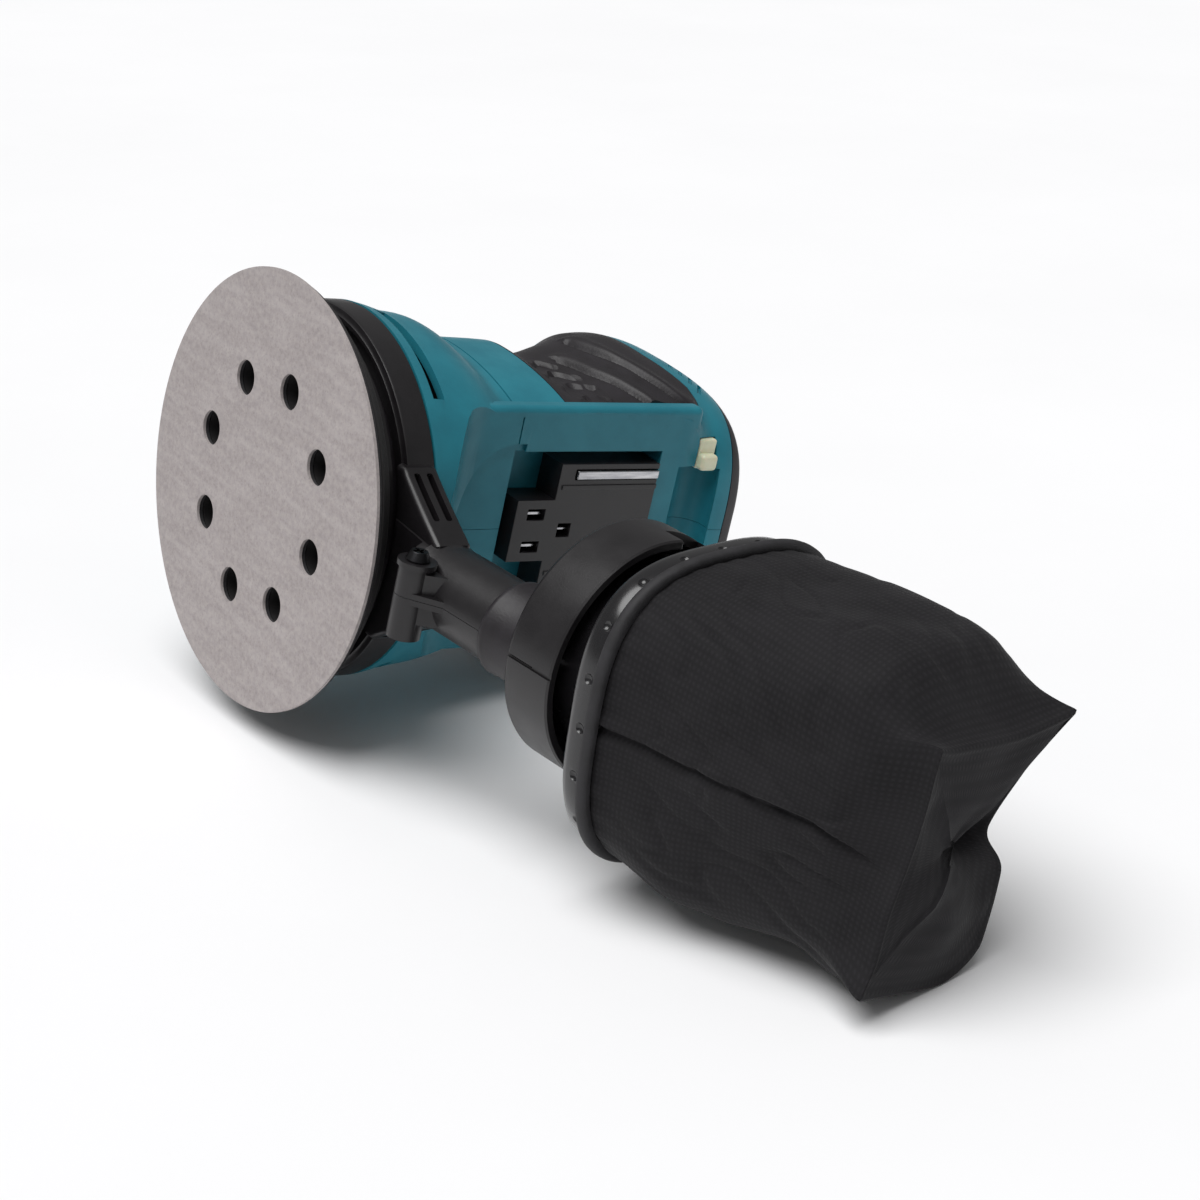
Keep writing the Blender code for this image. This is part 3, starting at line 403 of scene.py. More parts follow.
def skin_over(outlines, capped=True):
    """A skin over a stack of outlines of equally many points, closed at both ends or into a ring."""
    shape = bmesh.new()
    ring = bmesh.ops.create_circle(shape, cap_ends=capped, segments=len(outlines[0]), radius=MM)["verts"]
    for k, outline in enumerate(outlines):
        ring = next_ring(shape, ring) if k else ring
        for vert, place in zip(ring, outline):
            vert.co = Vector(place) * MM
    if capped:
        bmesh.ops.contextual_create(shape, geom=[shape.edges.get(p) for p in zip(ring, ring[1:] + ring[:1])])
    else:
        bmesh.ops.remove_doubles(shape, verts=shape.verts, dist=1e-7)
    return shape


def casing_form(low, high, inset=0.0, step=2.0, count=120, relief=None):
    """The casing's form between two heights."""
    rows = max(int((high - low) / step), 1)
    heights = [low + k * (high - low) / rows for k in range(rows + 1)]
    return skin_over([casing_outline(h, inset, count, relief) for h in heights])


def block(low, high):
    """A rectangular block between two corners."""
    shape = bmesh.new()
    bmesh.ops.create_cube(shape, size=1.0)
    bmesh.ops.scale(shape, vec=[(h - l) * MM for l, h in zip(low, high)], verts=shape.verts)
    bmesh.ops.translate(shape, vec=[(h + l) / 2 * MM for l, h in zip(low, high)], verts=shape.verts)
    return shape


def slab(outline, low, high, axis="Z"):
    """A flat outline given a thickness along an axis: (x, y) for Z, (x, z) for Y, (y, z) for X."""
    places = {"Z": lambda a, b: (a, b, low), "Y": lambda a, b: (a, low, b), "X": lambda a,
              b: (low, a, b)}[axis]
    shape = bmesh.new()
    face = shape.faces.new([shape.verts.new(Vector(places(a, b)) * MM) for a, b in outline])
    grown = bmesh.ops.extrude_face_region(shape, geom=[face])["geom"]
    along = Vector(["XYZ".index(axis) == k for k in range(3)]) * (high - low) * MM
    bmesh.ops.translate(shape, vec=along, verts=[v for v in grown if isinstance(v, bmesh.types.BMVert)])
    return shape


def rounded(shape, radius, segments=4):
    """The shape with all its edges rounded."""
    bmesh.ops.bevel(
        shape, geom=shape.edges[:], offset=radius * MM, segments=segments, profile=0.5, affect="EDGES",
        material=-1,
    )
    return shape


def arc_slot(inner, outer, start, end, low, high):
    """A slot along an arc, its angles in degrees."""
    turns = [math.radians(start + k * (end - start) / 40) for k in range(41)]
    rim = [(outer * math.cos(a), outer * math.sin(a)) for a in turns]
    return slab(rim + [(inner * math.cos(a), inner * math.sin(a)) for a in reversed(turns)], low, high)


def grip_room(margin):
    """The room of the rubber grip in side view: level below, dipping to the front above."""
    low, rear = 79.0 - margin, 29.4 + margin
    upper = [
        (rear, 127.0), (rear - 1.0, 129.2), (rear - 3.4, 130.2), (20.0, 130.2), (13.1, 128.0), (2.9, 124.6),
        (-7.8, 122.8),
        (-16.0, 121.2), (-23.0, 117.6), (-28.4, 112.4), (-31.6, 107.4), (-34.0, 102.6), (-36.4, 98.2),
        (-40.0, 95.8),
        (-70.0, 94.4),
    ]
    return slab([(-70.0, low), (rear, low)] + [(x, z + margin) for x, z in upper], -60, 60, "Y")


def panel_room(margin):
    return block((-70, -16.0 - margin, 97.6 - margin), (-30, 16.0 + margin, 119.0 + margin))


def palm_room(margin):
    """The room of the palm pad in side view: its edge dips to the rear."""
    edge = [(-60.0, 145.4), (-8.0, 144.6), (8.0, 144.0), (24.0, 142.2), (46.0, 139.4)]
    return slab([(x, z - margin) for x, z in edge] + [(46.0, 160.0), (-60.0, 160.0)], -60, 60, "Y")


def taken_from(name, form, *cuts):
    """A form less some others, as a shape ready to cut or join with."""
    item = combine(made(name, form), "DIFFERENCE", cuts)
    shape = bmesh.new()
    shape.from_mesh(item.data)
    bpy.data.objects.remove(item)
    return shape


def kept_in(name, form, room):
    item = combine(made(name, form), "INTERSECT", [room])
    shape = bmesh.new()
    shape.from_mesh(item.data)
    bpy.data.objects.remove(item)
    return shape


heights = [25.3 + k * (148 - 25.3) / 62 for k in range(63)] + [149.0, 150.0, 150.9, 151.6, 152.2, 152.7,
        153.0]
crown = [(x * 0.45 - 2.4, y * 0.45, 153.25) for x, y, z in casing_outline(153.0)]
shell = made("casing_shell", skin_over([casing_outline(h) for h in heights] + [crown]))
lips = []
for side in (-1, 1):
    near, far = sorted((side * 29.2, side * 37.4))
    lips.append(rounded(block((28.6, near, 41.0), (REAR_FACE, far, 127.0)), 2.2, 6))
combine(shell, "UNION", lips)

wall = 2.4
bay_block = ((BAY_FLOOR - wall, -BAY_HALF - wall, BAY_LOW - wall), (60, BAY_HALF + wall, BAY_HIGH + wall))
lower_cavity = taken_from("lower_cavity", casing_form(20.0, 77.0, 2.8, 3.0, 60), block(*bay_block))
upper_cavity = taken_from(
    "upper_cavity", casing_form(74.0, 149.0, 5.2, 3.0, 60), block(*bay_block),
    rod(LATCH_RADIUS + wall, (LATCH_X, -21.6, LATCH_Z), (LATCH_X, 21.6, LATCH_Z)),
    block((28.6, -30.6, 125.0), (60, 30.6, 136.6)),
)
arch = [(26.2 * math.cos(a),
         BAY_LOW + 18.0 * math.sin(a)) for a in (math.pi + k * math.pi / 48 for k in range(49))]
bay_room = [
    block((BAY_FLOOR, -BAY_HALF, BAY_LOW), (60, BAY_HALF, BAY_HIGH)),
    slab(arch + [(26.2, BAY_LOW + 3), (-26.2, BAY_LOW + 3)], REAR_FACE - 1.2, 60, "X"),
    rod(LATCH_RADIUS, (LATCH_X, -19, LATCH_Z), (LATCH_X, 19, LATCH_Z), 96),
    *[block((30.7, min(s * 18.0, s * 27.9), 127.3), (60, max(s * 18.0, s * 27.9), 134.3)) for s in (-1, 1)],
]
under_palm = (134.0, 137.0, 140.0, 143.0, 145.0, 147.0, 149.0, 150.4)
over_crown = [casing_outline(136.2 + k * 0.8, -3.0) for k in range(22)]
over_crown.append([(x, y, 158.0) for x, y, z in over_crown[-1]])
recesses = [
    kept_in("grip_bed", taken_from("grip_bed", casing_form(76, 134, -3.0, 1.5),
                                   casing_form(70, 138, 2.9, 1.5)),
            grip_room(CLEARANCE)),
    kept_in("panel_bed", taken_from("panel_bed", casing_form(90, 126, -3.0, 1.5),
                                    casing_form(88, 128, 2.4, 1.5)),
            panel_room(CLEARANCE)),
    kept_in("palm_bed", taken_from("palm_bed", skin_over(over_crown),
                                   skin_over([casing_outline(h, 2.8) for h in under_palm])),
            palm_room(CLEARANCE)),
]
vents = [arc_slot(44.0, 60.0, a, b, 28.6, 32.6) for a, b in ((48, 92), (100, 140), (-92, -48), (-140, -100))]
lower_screw_seats = [rod(3.4, (x, 9.0, z), (x, 70, z), 32) for x,
                     z in ((-30, 66), (29.2, 51.2), (-28, 131), (19, 139.4))]
button_bores = [rod(r + CLEARANCE, (-60, y, z), (-42, y, z)) for y, z, r in ((0, 112, 6.4), (-7, 102.4, 3.8))]
waist_line = taken_from("waist_line", casing_form(60.7, 61.2, -1.0), casing_form(58, 64, 0.45, 3.0))
# Four shallow louvre cuts high on each side, running up and to the front.
louvres = []
for side in (-1, 1):
    for x, z in ((4.6, 134.6), (9.0, 135.6), (13.4, 136.4), (17.8, 137.0)):
        surface = max(y for place, y, _ in casing_outline(z) if abs(place - x) < 2.0)
        cutter = block((-4.6, -1.6, -0.6), (4.6, 1.6, 0.6))
        bmesh.ops.rotate(cutter, cent=(0, 0, 0), matrix=Matrix.Rotation(math.radians(38), 3, "Y"),
                         verts=cutter.verts)
        bmesh.ops.translate(cutter, vec=Vector((x, side * (surface + 0.3), z)) * MM, verts=cutter.verts)
        louvres.append(cutter)
combine(shell, "DIFFERENCE", [
    lower_cavity, upper_cavity, *bay_room, *recesses, *vents, *lower_screw_seats, *button_bores, waist_line,
    *louvres,
])

# ABS, injection moulded in a lightly sparked tool: satin, with a half-millimetre grain.
teal_abs = finish_of("abs_moulded_teal", "#277C8C", "#237282", 0.42, 14.0, 0.5, 0.03,
                     sockets={"Specular IOR Level": 0.32})
for side, node in ((-1, "housing_left"), (1, "housing_right")):
    half = bpy.data.objects.new("casing_left" if side < 0 else "casing_right", shell.data.copy())
    bpy.context.scene.collection.objects.link(half)
    near, far = sorted((side * 0.07, side * 90.0))
    combine(half, "INTERSECT", [block((-90, near, 0), (90, far, 200))])
    fitted(half, teal_abs, "casing", "teal_abs", node, edge=0.3)
bpy.data.objects.remove(shell)

# --- Rubber grips and palm pad --------------------------------------------------------------------
# Thermoplastic rubber moulded over the waist of each half, with sculpted creases and small chevrons
# that the fingers find, and a soft pad across the crown for the palm.

CREASES = (  # x and z along each crease, on both sides
    ((-2.0, 97.4), (3.0, 98.9), (9.7, 100.3), (16.3, 103.0), (24.2, 106.2), (31.0, 109.8)),
    ((-11.0, 105.8), (-5.8, 106.6), (1.4, 108.5), (8.6, 111.0), (18.0, 115.4), (25.9, 120.6), (31.0, 124.4)),
)
CHEVRONS = (
    ((0.1, 86.3), (-4.4, 90.8), (0.9, 93.5)),
    ((12.7, 83.0), (4.7, 90.0), (10.9, 95.1)),
    ((19.4, 85.1), (14.6, 90.3), (18.5, 95.7)),
    ((27.2, 86.6), (23.6, 90.8), (26.6, 95.9)),
)


def distance_to(line, x, z):
    """How far a point is from a line of points, and on which side: positive above it."""
    best, side = 1e9, 1.0
    for (ax, az), (bx, bz) in zip(line, line[1:]):
        run, rise = bx - ax, bz - az
        t = max(0.0, min(1.0, ((x - ax) * run + (z - az) * rise) / (run * run + rise * rise)))
        away = math.hypot(x - ax - t * run, z - az - t * rise)
        if away < best:
            best, side = away, math.copysign(1.0, (z - az) * run - (x - ax) * rise)
    return best, side


def grip_relief(x, z):
    """How far the rubber stands out: a soft crest over each crease's valley, and fine chevrons."""
    lift = 0.0
    for line in CREASES:
        away, side = distance_to(line, x, z)
        if away < 6:
            height = away * side
            lift += 0.8 * math.exp(-((height - 2.2) / 2.2) ** 2)
            lift -= 1.4 * math.exp(-((height + 0.2) / 0.75) ** 2)
    for line in CHEVRONS:
        away, side = distance_to(line, x, z)
        if away < 3:
            height = away * side
            lift += 0.7 * math.exp(-((height - 0.8) / 0.9) ** 2)
            lift -= 0.8 * math.exp(-((height + 0.35) / 0.5) ** 2)
    return lift


grip_outside = casing_form(77.5, 133.0, 0.0, 0.55, 280, grip_relief)
grip = made("grip_sleeve", grip_outside)
combine(grip, "DIFFERENCE", [casing_form(70, 138, GRIP_SKIN + 0.2, 1.5), panel_room(0.3)])
combine(grip, "INTERSECT", [grip_room(0.0)])
# Thermoplastic rubber over ABS, moulded: dark, with a soft broad highlight and a leathery 0.7 mm grain.
rubber = finish_of("thermoplastic_rubber_moulded", "#1E1B1E", "#252226", 0.48, 6.0, 0.7, 0.05,
                   sockets={"Specular IOR Level": 0.4})
for side, name in ((-1, "left"), (1, "right")):
    half = bpy.data.objects.new(f"rubber_grip_{name}", grip.data.copy())
    bpy.context.scene.collection.objects.link(half)
    near, far = sorted((side * 0.07, side * 90.0))
    combine(half, "INTERSECT", [block((-90, near, 0), (90, far, 200))])
    fitted(half, rubber, "casing", "black_rubber", f"grip_{name}", edge=0.25, sharp=50)
bpy.data.objects.remove(grip)

pad_heights = [137.5 + k * 0.5 for k in range(28)] + [151.6, 152.1, 152.6, 153.0]
palm = made("palm_cushion", skin_over([casing_outline(h) for h in pad_heights] + [crown]))
combine(palm, "DIFFERENCE", [skin_over([casing_outline(h, 2.4) for h in (*under_palm[:-1], 150.6)])])
combine(palm, "INTERSECT", [palm_room(0.0)])
fitted(palm, rubber, "casing", "black_rubber", "palm_pad", edge=0.3)

# --- Switch panel, buttons and lamp ---------------------------------------------------------------
# A nylon panel let into the front of the grip holds a rubber power button, a small speed button and
# the lens of the speed lamp.

panel = made("control_panel", casing_form(94, 123, -0.4, 1.2, 200))
combine(panel, "DIFFERENCE", [casing_form(90, 127, 2.0, 1.2, 200)])
combine(panel, "INTERSECT", [rounded(panel_room(0.0), 0.8)])
holes = [rod(r + CLEARANCE, (-60, y, z), (-42, y, z)) for y, z, r in ((0, 112, 6.4), (-7, 102.4, 3.8))]
combine(panel, "DIFFERENCE", [*holes, block((-60, 2.7, 100.7), (-30, 12.3, 104.1))])
fitted(panel, nylon, "casing", "black_nylon", "switch_panel", edge=0.25)
lens = made("lamp_lens", casing_form(98, 108, -0.7, 1.2, 200))
combine(lens, "DIFFERENCE", [casing_form(90, 112, 1.8, 1.2, 200)])
combine(lens, "INTERSECT", [block((-60, 3.0, 101.0), (-30, 12.0, 103.8))])
# Cast polycarbonate, dyed red: glossy and a little see-through.
red_lens = finish_of("polycarbonate_lens_red", "#B0201C", "#9A1814", 0.16, 4.0, 1.0, 0.005,
                     sockets={"Transmission Weight": 0.35})
fitted(lens, red_lens, "casing", "red_lens", "speed_lamp", edge=0.2)
for name, (y, z, radius), face in (("power_button", (0, 112, 6.4), -54.6),
                                   ("speed_button", (-7, 102.4, 3.8), -53.2)):
    cap = rod(radius, (face, y, z), (-44.6, y, z), 64)
    dish = bmesh.new()
    bmesh.ops.create_uvsphere(dish, u_segments=48, v_segments=24, radius=radius * 2.6 * MM)
    bmesh.ops.translate(dish, vec=Vector((face - radius * 2.6 + 0.5, y, z)) * MM, verts=dish.verts)
    button = combine(made(f"{name}_cap", cap), "DIFFERENCE", [dish])
    fitted(button, rubber, name, "black_rubber", name, edge=0.6)

# --- Battery dock ---------------------------------------------------------------------------------
# A black nylon block in the bay carries the spring contacts and two steel rails that the battery
# slides on. Two cream nylon cushions take up its play under the hood.

dock = [
    (-9.5, 64.0), (9.5, 64.0), (9.5, 77.0), (20.5, 77.0), (20.5, 113.0), (-20.5, 113.0), (-20.5, 77.0),
    (-9.5, 77.0),
]
terminal = made("terminal_housing", slab(dock, BAY_FLOOR + CLEARANCE, 36.2, "X"))
ribs = [block((33.0, s * 13.4 - 0.7, 78.4), (36.6, s * 13.4 + 0.7, 113.0)) for s in (-1, 1)]
combine(terminal, "UNION", ribs)
windows = [block((29.4, y - 1.7, 68.4), (40, y + 1.7, 74.4)) for y in (-5.0, 5.0)]
windows += [block((29.4, -2.1, 80.0), (40, 2.1, 84.6))]
windows += [block((33.0, min(s * 15.6, s * 18.8), 82.6), (40, max(s * 15.6, s * 18.8), 120)) for s in (-1, 1)]
combine(terminal, "DIFFERENCE", windows)
fitted(terminal, nylon, "casing", "black_nylon", "terminal_block", edge=0.3)

# Tinned spring steel, stamped: bright with a soft rolled grain along the strip.
strip_steel = finish_of("steel_strip_rolled", "#C4C4C6", "#9FA0A4", 0.26, 2.0, 0.4, 0.008, 1.0,
                        stretch=(1, 1, 0.15))
for side, name in ((-1, "left"), (1, "right")):
    near, far = sorted((side * 15.9, side * 18.5))
    rail = made(f"slide_rail_{name}", rounded(block((33.3, near, 82.9), (36.9, far, 112.8)), 0.35, 3))
    fitted(rail, strip_steel, "casing", "steel", f"battery_rail_{name}")
for name, y, half, low, high in (
    ("contact_positive", -5.0, 0.5, 68.8, 74.0), ("contact_negative", 5.0, 0.5, 68.8, 74.0),
    ("contact_signal", 0.0, 0.4, 80.4, 84.2),
):
    blade = made(f"{name}_blade", rounded(block((29.7, y - half, low), (34.8, y + half, high)), 0.2, 3))
    fitted(blade, strip_steel, "casing", "steel", name)

# Unfilled nylon, moulded: cream, slightly see-through, with a waxy gloss.
cream_nylon = finish_of(
    "nylon_moulded_cream", "#E4E4C8", "#DADABA", 0.34, 4.0, 0.6, 0.015,
    sockets={"Subsurface Weight": 0.15, "Subsurface Scale": 0.002},
)
for side, name in ((-1, "left"), (1, "right")):
    near, far = sorted((side * 18.3, side * 27.6))
    foot = rounded(block((31.0, near, 127.6), (35.2, far, 134.0)), 0.8)
    nub = rounded(block((31.2, min(side * 18.3, side * 23.4), 127.7),
                        (37.8, max(side * 18.3, side * 23.4), 133.9)), 1.3)
    pad = combine(made(f"dock_cushion_{name}", foot), "UNION", [nub])
    fitted(pad, cream_nylon, "casing", "natural_nylon", f"battery_cushion_{name}", edge=0.2, sharp=60)

# --- Dust skirt and nozzle ------------------------------------------------------------------------
# A nylon shroud in two halves rings the pad, gathers the dust into a neck at the rear and sends it
# out of a short nozzle. A boss under the nozzle takes the screw that clamps the halves.

TILT = math.radians(7.5)
BOSS_X, BOSS_Z = 75.3, 6.0


def nozzle_point(x):
    return (x, 0.0, 9.8 + math.tan(TILT) * x)


def neck_outline(inset, front, rear):
    wide, narrow = 25.0 - inset, 11.6 - inset
    curve = [(49.5 + k * (rear - 49.5) / 12, wide - (wide - narrow) * (k / 12) ** 0.92) for k in range(13)]
    return [(front, wide)] + curve + [(x, -y) for x, y in reversed(curve)] + [(front, -wide)]


ring_side = [
    (53.2, 25.0), (53.8, 24.7), (54.0, 24.1), (54.0, 16.9), (53.7, 16.3), (52.9, 16.1), (52.3, 15.9),
    (52.0, 15.6),
    (50.9, 15.6), (50.9, 17.4), (45.8, 17.4), (45.8, 18.7), (41.2, 18.7), (41.2, 17.4), (39.4, 17.4),
    (39.4, 19.6),
    (50.9, 19.6), (50.9, 25.0),
]
shroud = made("dust_shroud", spun(ring_side, (0, 0), 192))
neck = slab(neck_outline(0.0, 44.0, 72.0), 13.6, 24.8)
bmesh.ops.bevel(
    neck, geom=[e for e in neck.edges if abs(e.verts[0].co.z - e.verts[1].co.z) < 1e-6], offset=1.6 * MM,
    segments=5,
    profile=0.5, affect="EDGES", material=-1,
)
outlet = made("outlet", neck)
web = [(70.9, 6.0), (72.2, 3.4), (75.3, 1.8), (79.2, 3.4), (86.0, 9.8), (92.0, 15.0), (92.0, 18),
       (70.0, 18), (69.5, 12.0)]
combine(outlet, "UNION", [
    rod(11.6, nozzle_point(50.0), nozzle_point(106.8), 128),
    rod(12.2, nozzle_point(68.5), nozzle_point(73.5), 128, 11.6),
    rod(4.6, (BOSS_X, -8.4, BOSS_Z), (BOSS_X, 12.0, BOSS_Z), 64),
    rod(5.3, (BOSS_X, -9.4, BOSS_Z), (BOSS_X, -8.0, BOSS_Z), 64),
    slab(web, -1.6, 1.6, "Y"),
    slab([(70.9, 6.0), (79.9, 6.0), (84.3, 14.0), (68.0, 14.0)], -7.0, 7.0, "Y"),
])
combine(outlet, "DIFFERENCE", [
    disc(52.5, 0.0, 40.0, (0, 0), 192), disc(66.6, -5.0, 13.2, (0, 0), 192),
    disc(54.4, 24.9, 60.0, (0, 0), 192),
])
outlet_shape = bmesh.new()
outlet_shape.from_mesh(outlet.data)
bpy.data.objects.remove(outlet)
combine(shroud, "UNION", [outlet_shape])
slots = []
for height in (17.3, 21.3):
    for side in (-1, 1):
        slot = rounded(block((-8.0, -2.5, -0.95), (8.0, 2.5, 0.95)), 0.7)
        turn = Matrix.Rotation(side * math.radians(-30.2), 3, "Z")
        bmesh.ops.rotate(slot, cent=(0, 0, 0), matrix=turn, verts=slot.verts)
        bmesh.ops.translate(slot, vec=Vector((57.4, side * 19.1, height)) * MM, verts=slot.verts)
        slots.append(slot)
combine(shroud, "DIFFERENCE", [
    slab(neck_outline(2.6, 48.0, 73.0), 16.0, 22.6), rod(9.4, nozzle_point(68.4), nozzle_point(120.0), 128),
    rod(2.0, (BOSS_X, -20, BOSS_Z), (BOSS_X, 9.6, BOSS_Z), 32), *slots,
])
for side, name in ((-1, "left"), (1, "right")):
    half = bpy.data.objects.new(f"shroud_{name}", shroud.data.copy())
    bpy.context.scene.collection.objects.link(half)
    near, far = sorted((side * 0.07, side * 90.0))
    combine(half, "INTERSECT", [block((-90, near, -20), (130, far, 60))])
    fitted(half, nylon, "casing", "black_nylon", f"skirt_{name}", edge=0.3)
bpy.data.objects.remove(shroud)

brake = made("brake_lip", spun([(45.5, 12.7), (45.5, 18.4), (41.5, 18.4), (41.5, 13.2), (42.4, 12.7)],
                               (0, 0), 160))
fitted(brake, rubber, "casing", "black_rubber", "pad_brake_ring", edge=0.3)

head = rod(3.4, (BOSS_X, -9.7, BOSS_Z), (BOSS_X, -12.1, BOSS_Z), 64, 2.3)
bolt = combine(made("boss_screw", head), "UNION", [rod(1.7, (BOSS_X, -10.7, BOSS_Z), (BOSS_X, 9.2, BOSS_Z),
                                                       32)])
cross = [
    block((BOSS_X - w / 2, -13, BOSS_Z - t / 2), (BOSS_X + w / 2, -10.8, BOSS_Z + t / 2)) for w,
    t in ((3.6, 0.9), (0.9, 3.6))
]
combine(bolt, "DIFFERENCE", cross)
fitted(bolt, black_steel, "casing", "black_steel", "clamp_screw", edge=0.2)

# --- Collar and inlet sleeve ----------------------------------------------------------------------
# A round nylon collar pushes onto the nozzle with a rubber sleeve inside it, and holds the bag
# frame's spigot, which turns in it.

COLLAR_X, COLLAR_Z = 108.4, 44.6
DROP = (COLLAR_Z - nozzle_point(COLLAR_X)[2]) * math.cos(TILT)


def along_bag(shape, roll=0.0):
    """Moves a shape made about Z onto the collar's axis: Z runs back, X points down."""
    place = Matrix.Translation(Vector((COLLAR_X, 0.0, COLLAR_Z)) * MM)
    turn = place @ Matrix.Rotation(math.pi / 2 - TILT, 4, "Y") @ Matrix.Rotation(roll, 4, "Z")
    bmesh.ops.transform(shape, matrix=turn, verts=shape.verts)
    return shape


cup = [
    (0, 0.0), (31.6, 0.0), (32.8, 0.25), (33.6, 0.9), (34.0, 1.9), (34.0, 16.6), (33.6, 17.2), (31.9, 17.3),
    (31.5, 16.9),
    (31.5, 2.4), (0, 2.4),
]
drum = made("collar_drum", along_bag(spun(cup, (0, 0), 160)))
notch = [block((-16.5, -60, 10.3), (-3.0, -20, 30))]
seam = [block((33.45, -0.5, -1), (40, 0.5, 20)), block((14, -0.35, -1), (40, 0.35, 0.4))]
arrow = [slab([(-22.0, -34.5), (-22.0, -20), (-16.6, -20), (-16.6, -34.5)], 15.9, 20)]
combine(drum, "DIFFERENCE", [along_bag(s) for s in (rod(13.1, (DROP, 0, -5), (DROP, 0, 10), 96), *notch,
                                                    *seam, *arrow)])
fitted(drum, nylon, "collar", "black_nylon", "collar", edge=0.3)
sleeve_side = [
    (12.5, 2.1), (12.8, 1.8), (12.8, -9.4), (13.1, -9.8), (13.1, -11.0), (12.7, -11.6), (12.1, -11.6),
    (11.9, -11.3),
    (11.9, 1.8), (12.1, 2.1),
]
sleeve = made("rubber_sleeve", along_bag(spun(sleeve_side, (DROP, 0), 128)))
fitted(sleeve, rubber, "collar", "black_rubber", "inlet_sleeve", sharp=40)

# --- Bag frame ------------------------------------------------------------------------------------
# A rounded square of glossy black nylon, moulded with the spigot that turns in the collar. Small
# dimples run round its rim, and the cloth is bound over its back edge.

ROLL = math.radians(5.2)


def rounded_square(angle, down, side, squareness):
    """A point of a rounded square at an angle, with its reach each way; a circle at a squareness of 2."""
    c, s = math.cos(angle), math.sin(angle)
    reach = (abs(c / down) ** squareness + abs(s / side) ** squareness) ** (-1 / squareness)
    return reach * c, reach * s


def square_ring(half, along, squareness=2.8, count=240):
    """One ring of a rounded square in the frame's own place."""
    return [(*rounded_square(k * math.tau / count, half, half, squareness), along) for k in range(count)]


rings = [
    (25.4, 3.2, 2), (27.2, 3.2, 2), (27.6, 3.6, 2), (27.6, 29.4, 2), (28.2, 30.2, 2), (30.0, 30.5, 2),
    (34.5, 30.5, 2.5),
    (37.2, 30.5, 3.1), (38.3, 30.7, 3.1), (39.2, 31.3, 3.1), (39.8, 32.2, 3.1), (40.0, 33.4, 3.1),
    (40.0, 37.6, 3.1),
    (39.6, 38.3, 3.1), (37.8, 38.3, 3.1), (37.6, 37.8, 3.1), (37.6, 33.2, 3.1), (30.0, 33.1, 2.3),
    (25.4, 33.1, 2),
    (25.4, 3.2, 2),
]
frame_piece = made("bag_rim", along_bag(skin_over([square_ring(*ring) for ring in rings], False), ROLL))
dimples = []
for k in range(20):
    x, y, z = square_ring(40.0, 36.0, 3.1, 20)[k]
    ball = bmesh.new()
    bmesh.ops.create_uvsphere(ball, u_segments=24, v_segments=12, radius=1.7 * MM)
    bmesh.ops.translate(ball, vec=Vector((x * 1.022, y * 1.022, z)) * MM, verts=ball.verts)
    dimples.append(along_bag(ball, ROLL))
combine(frame_piece, "DIFFERENCE", dimples)
# Unfilled nylon from a polished tool: black with a clear gloss.
gloss_nylon = finish_of(
    "nylon_moulded_polished", "#151416", "#1B1A1C", 0.24, 12.0, 1.2, 0.008,
    sockets={"Coat Weight": 0.3, "Coat Roughness": 0.2},
)
fitted(frame_piece, gloss_nylon, "bag", "black_nylon", "bag_frame", sharp=40)

# --- Dust bag -------------------------------------------------------------------------------------
# Tightly woven black polyester, cut as one band and an end panel, sewn with a seam along the bottom
# and bound to the frame with tape. It is empty, so its sides sag and its end caves in.

# Along, half width to -Y, half width to +Y, reach down, reach up, squareness.
BAG_STATIONS = (
    (38.9, 38.6, 38.6, 38.0, 38.0, 3.1),
    (41.0, 39.6, 39.6, 38.6, 38.8, 3.2),
    (46.0, 40.4, 41.0, 37.4, 39.0, 3.3),
    (60.0, 41.4, 42.2, 34.4, 39.0, 3.6),
    (72.0, 42.6, 40.8, 31.2, 38.2, 3.8),
    (84.0, 43.8, 37.8, 28.2, 37.0, 3.8),
    (96.0, 44.6, 36.4, 25.4, 35.6, 3.8),
    (106.0, 43.2, 38.4, 23.0, 34.2, 3.8),
    (114.0, 40.0, 40.0, 21.6, 33.0, 3.8),
    (122.0, 36.0, 38.0, 20.4, 31.0, 3.8),
)
# The end seam: its place round the sack in degrees from the bottom, then how far down, to +Y and along.
END_SEAM = (
    (4, 16.0, 3.8, 119.6), (28, 18.9, 16.1, 120.4), (44, 19.6, 27.0, 121.0), (53, 22.6, 34.4, 122.0),
    (62, 16.0, 36.0, 121.4), (80, 6.0, 37.4, 121.0), (104, -10.5, 39.0, 120.6), (128, -23.6, 30.5, 120.4),
    (152, -24.6, 12.0, 119.4), (180, -16.7, -0.5, 117.4), (206, -21.6, -15.3, 119.0),
    (226, -32.4, -31.0, 121.6),
    (236, -26.0, -29.4, 121.4), (262, -10.0, -26.6, 120.6), (296, 11.0, -27.0, 121.0),
    (308, 17.6, -28.2, 121.4),
    (320, 16.8, -20.0, 120.8), (340, 15.4, -8.0, 120.0), (364, 16.0, 3.8, 119.6),
)
BAG_COUNT = 300


def bag_outline(along):
    """One outline of the sack, with its own reach on each of the four sides."""
    columns = list(zip(*BAG_STATIONS))
    left, right, low, high, squareness = (through(columns[0], column, along) for column in columns[1:])
    outline = []
    for k in range(BAG_COUNT):
        angle = k * math.tau / BAG_COUNT
        down = low if math.cos(angle) > 0 else high
        side = right if math.sin(angle) > 0 else left
        outline.append(Vector((*rounded_square(angle, down, side, squareness), along)))
    return outline


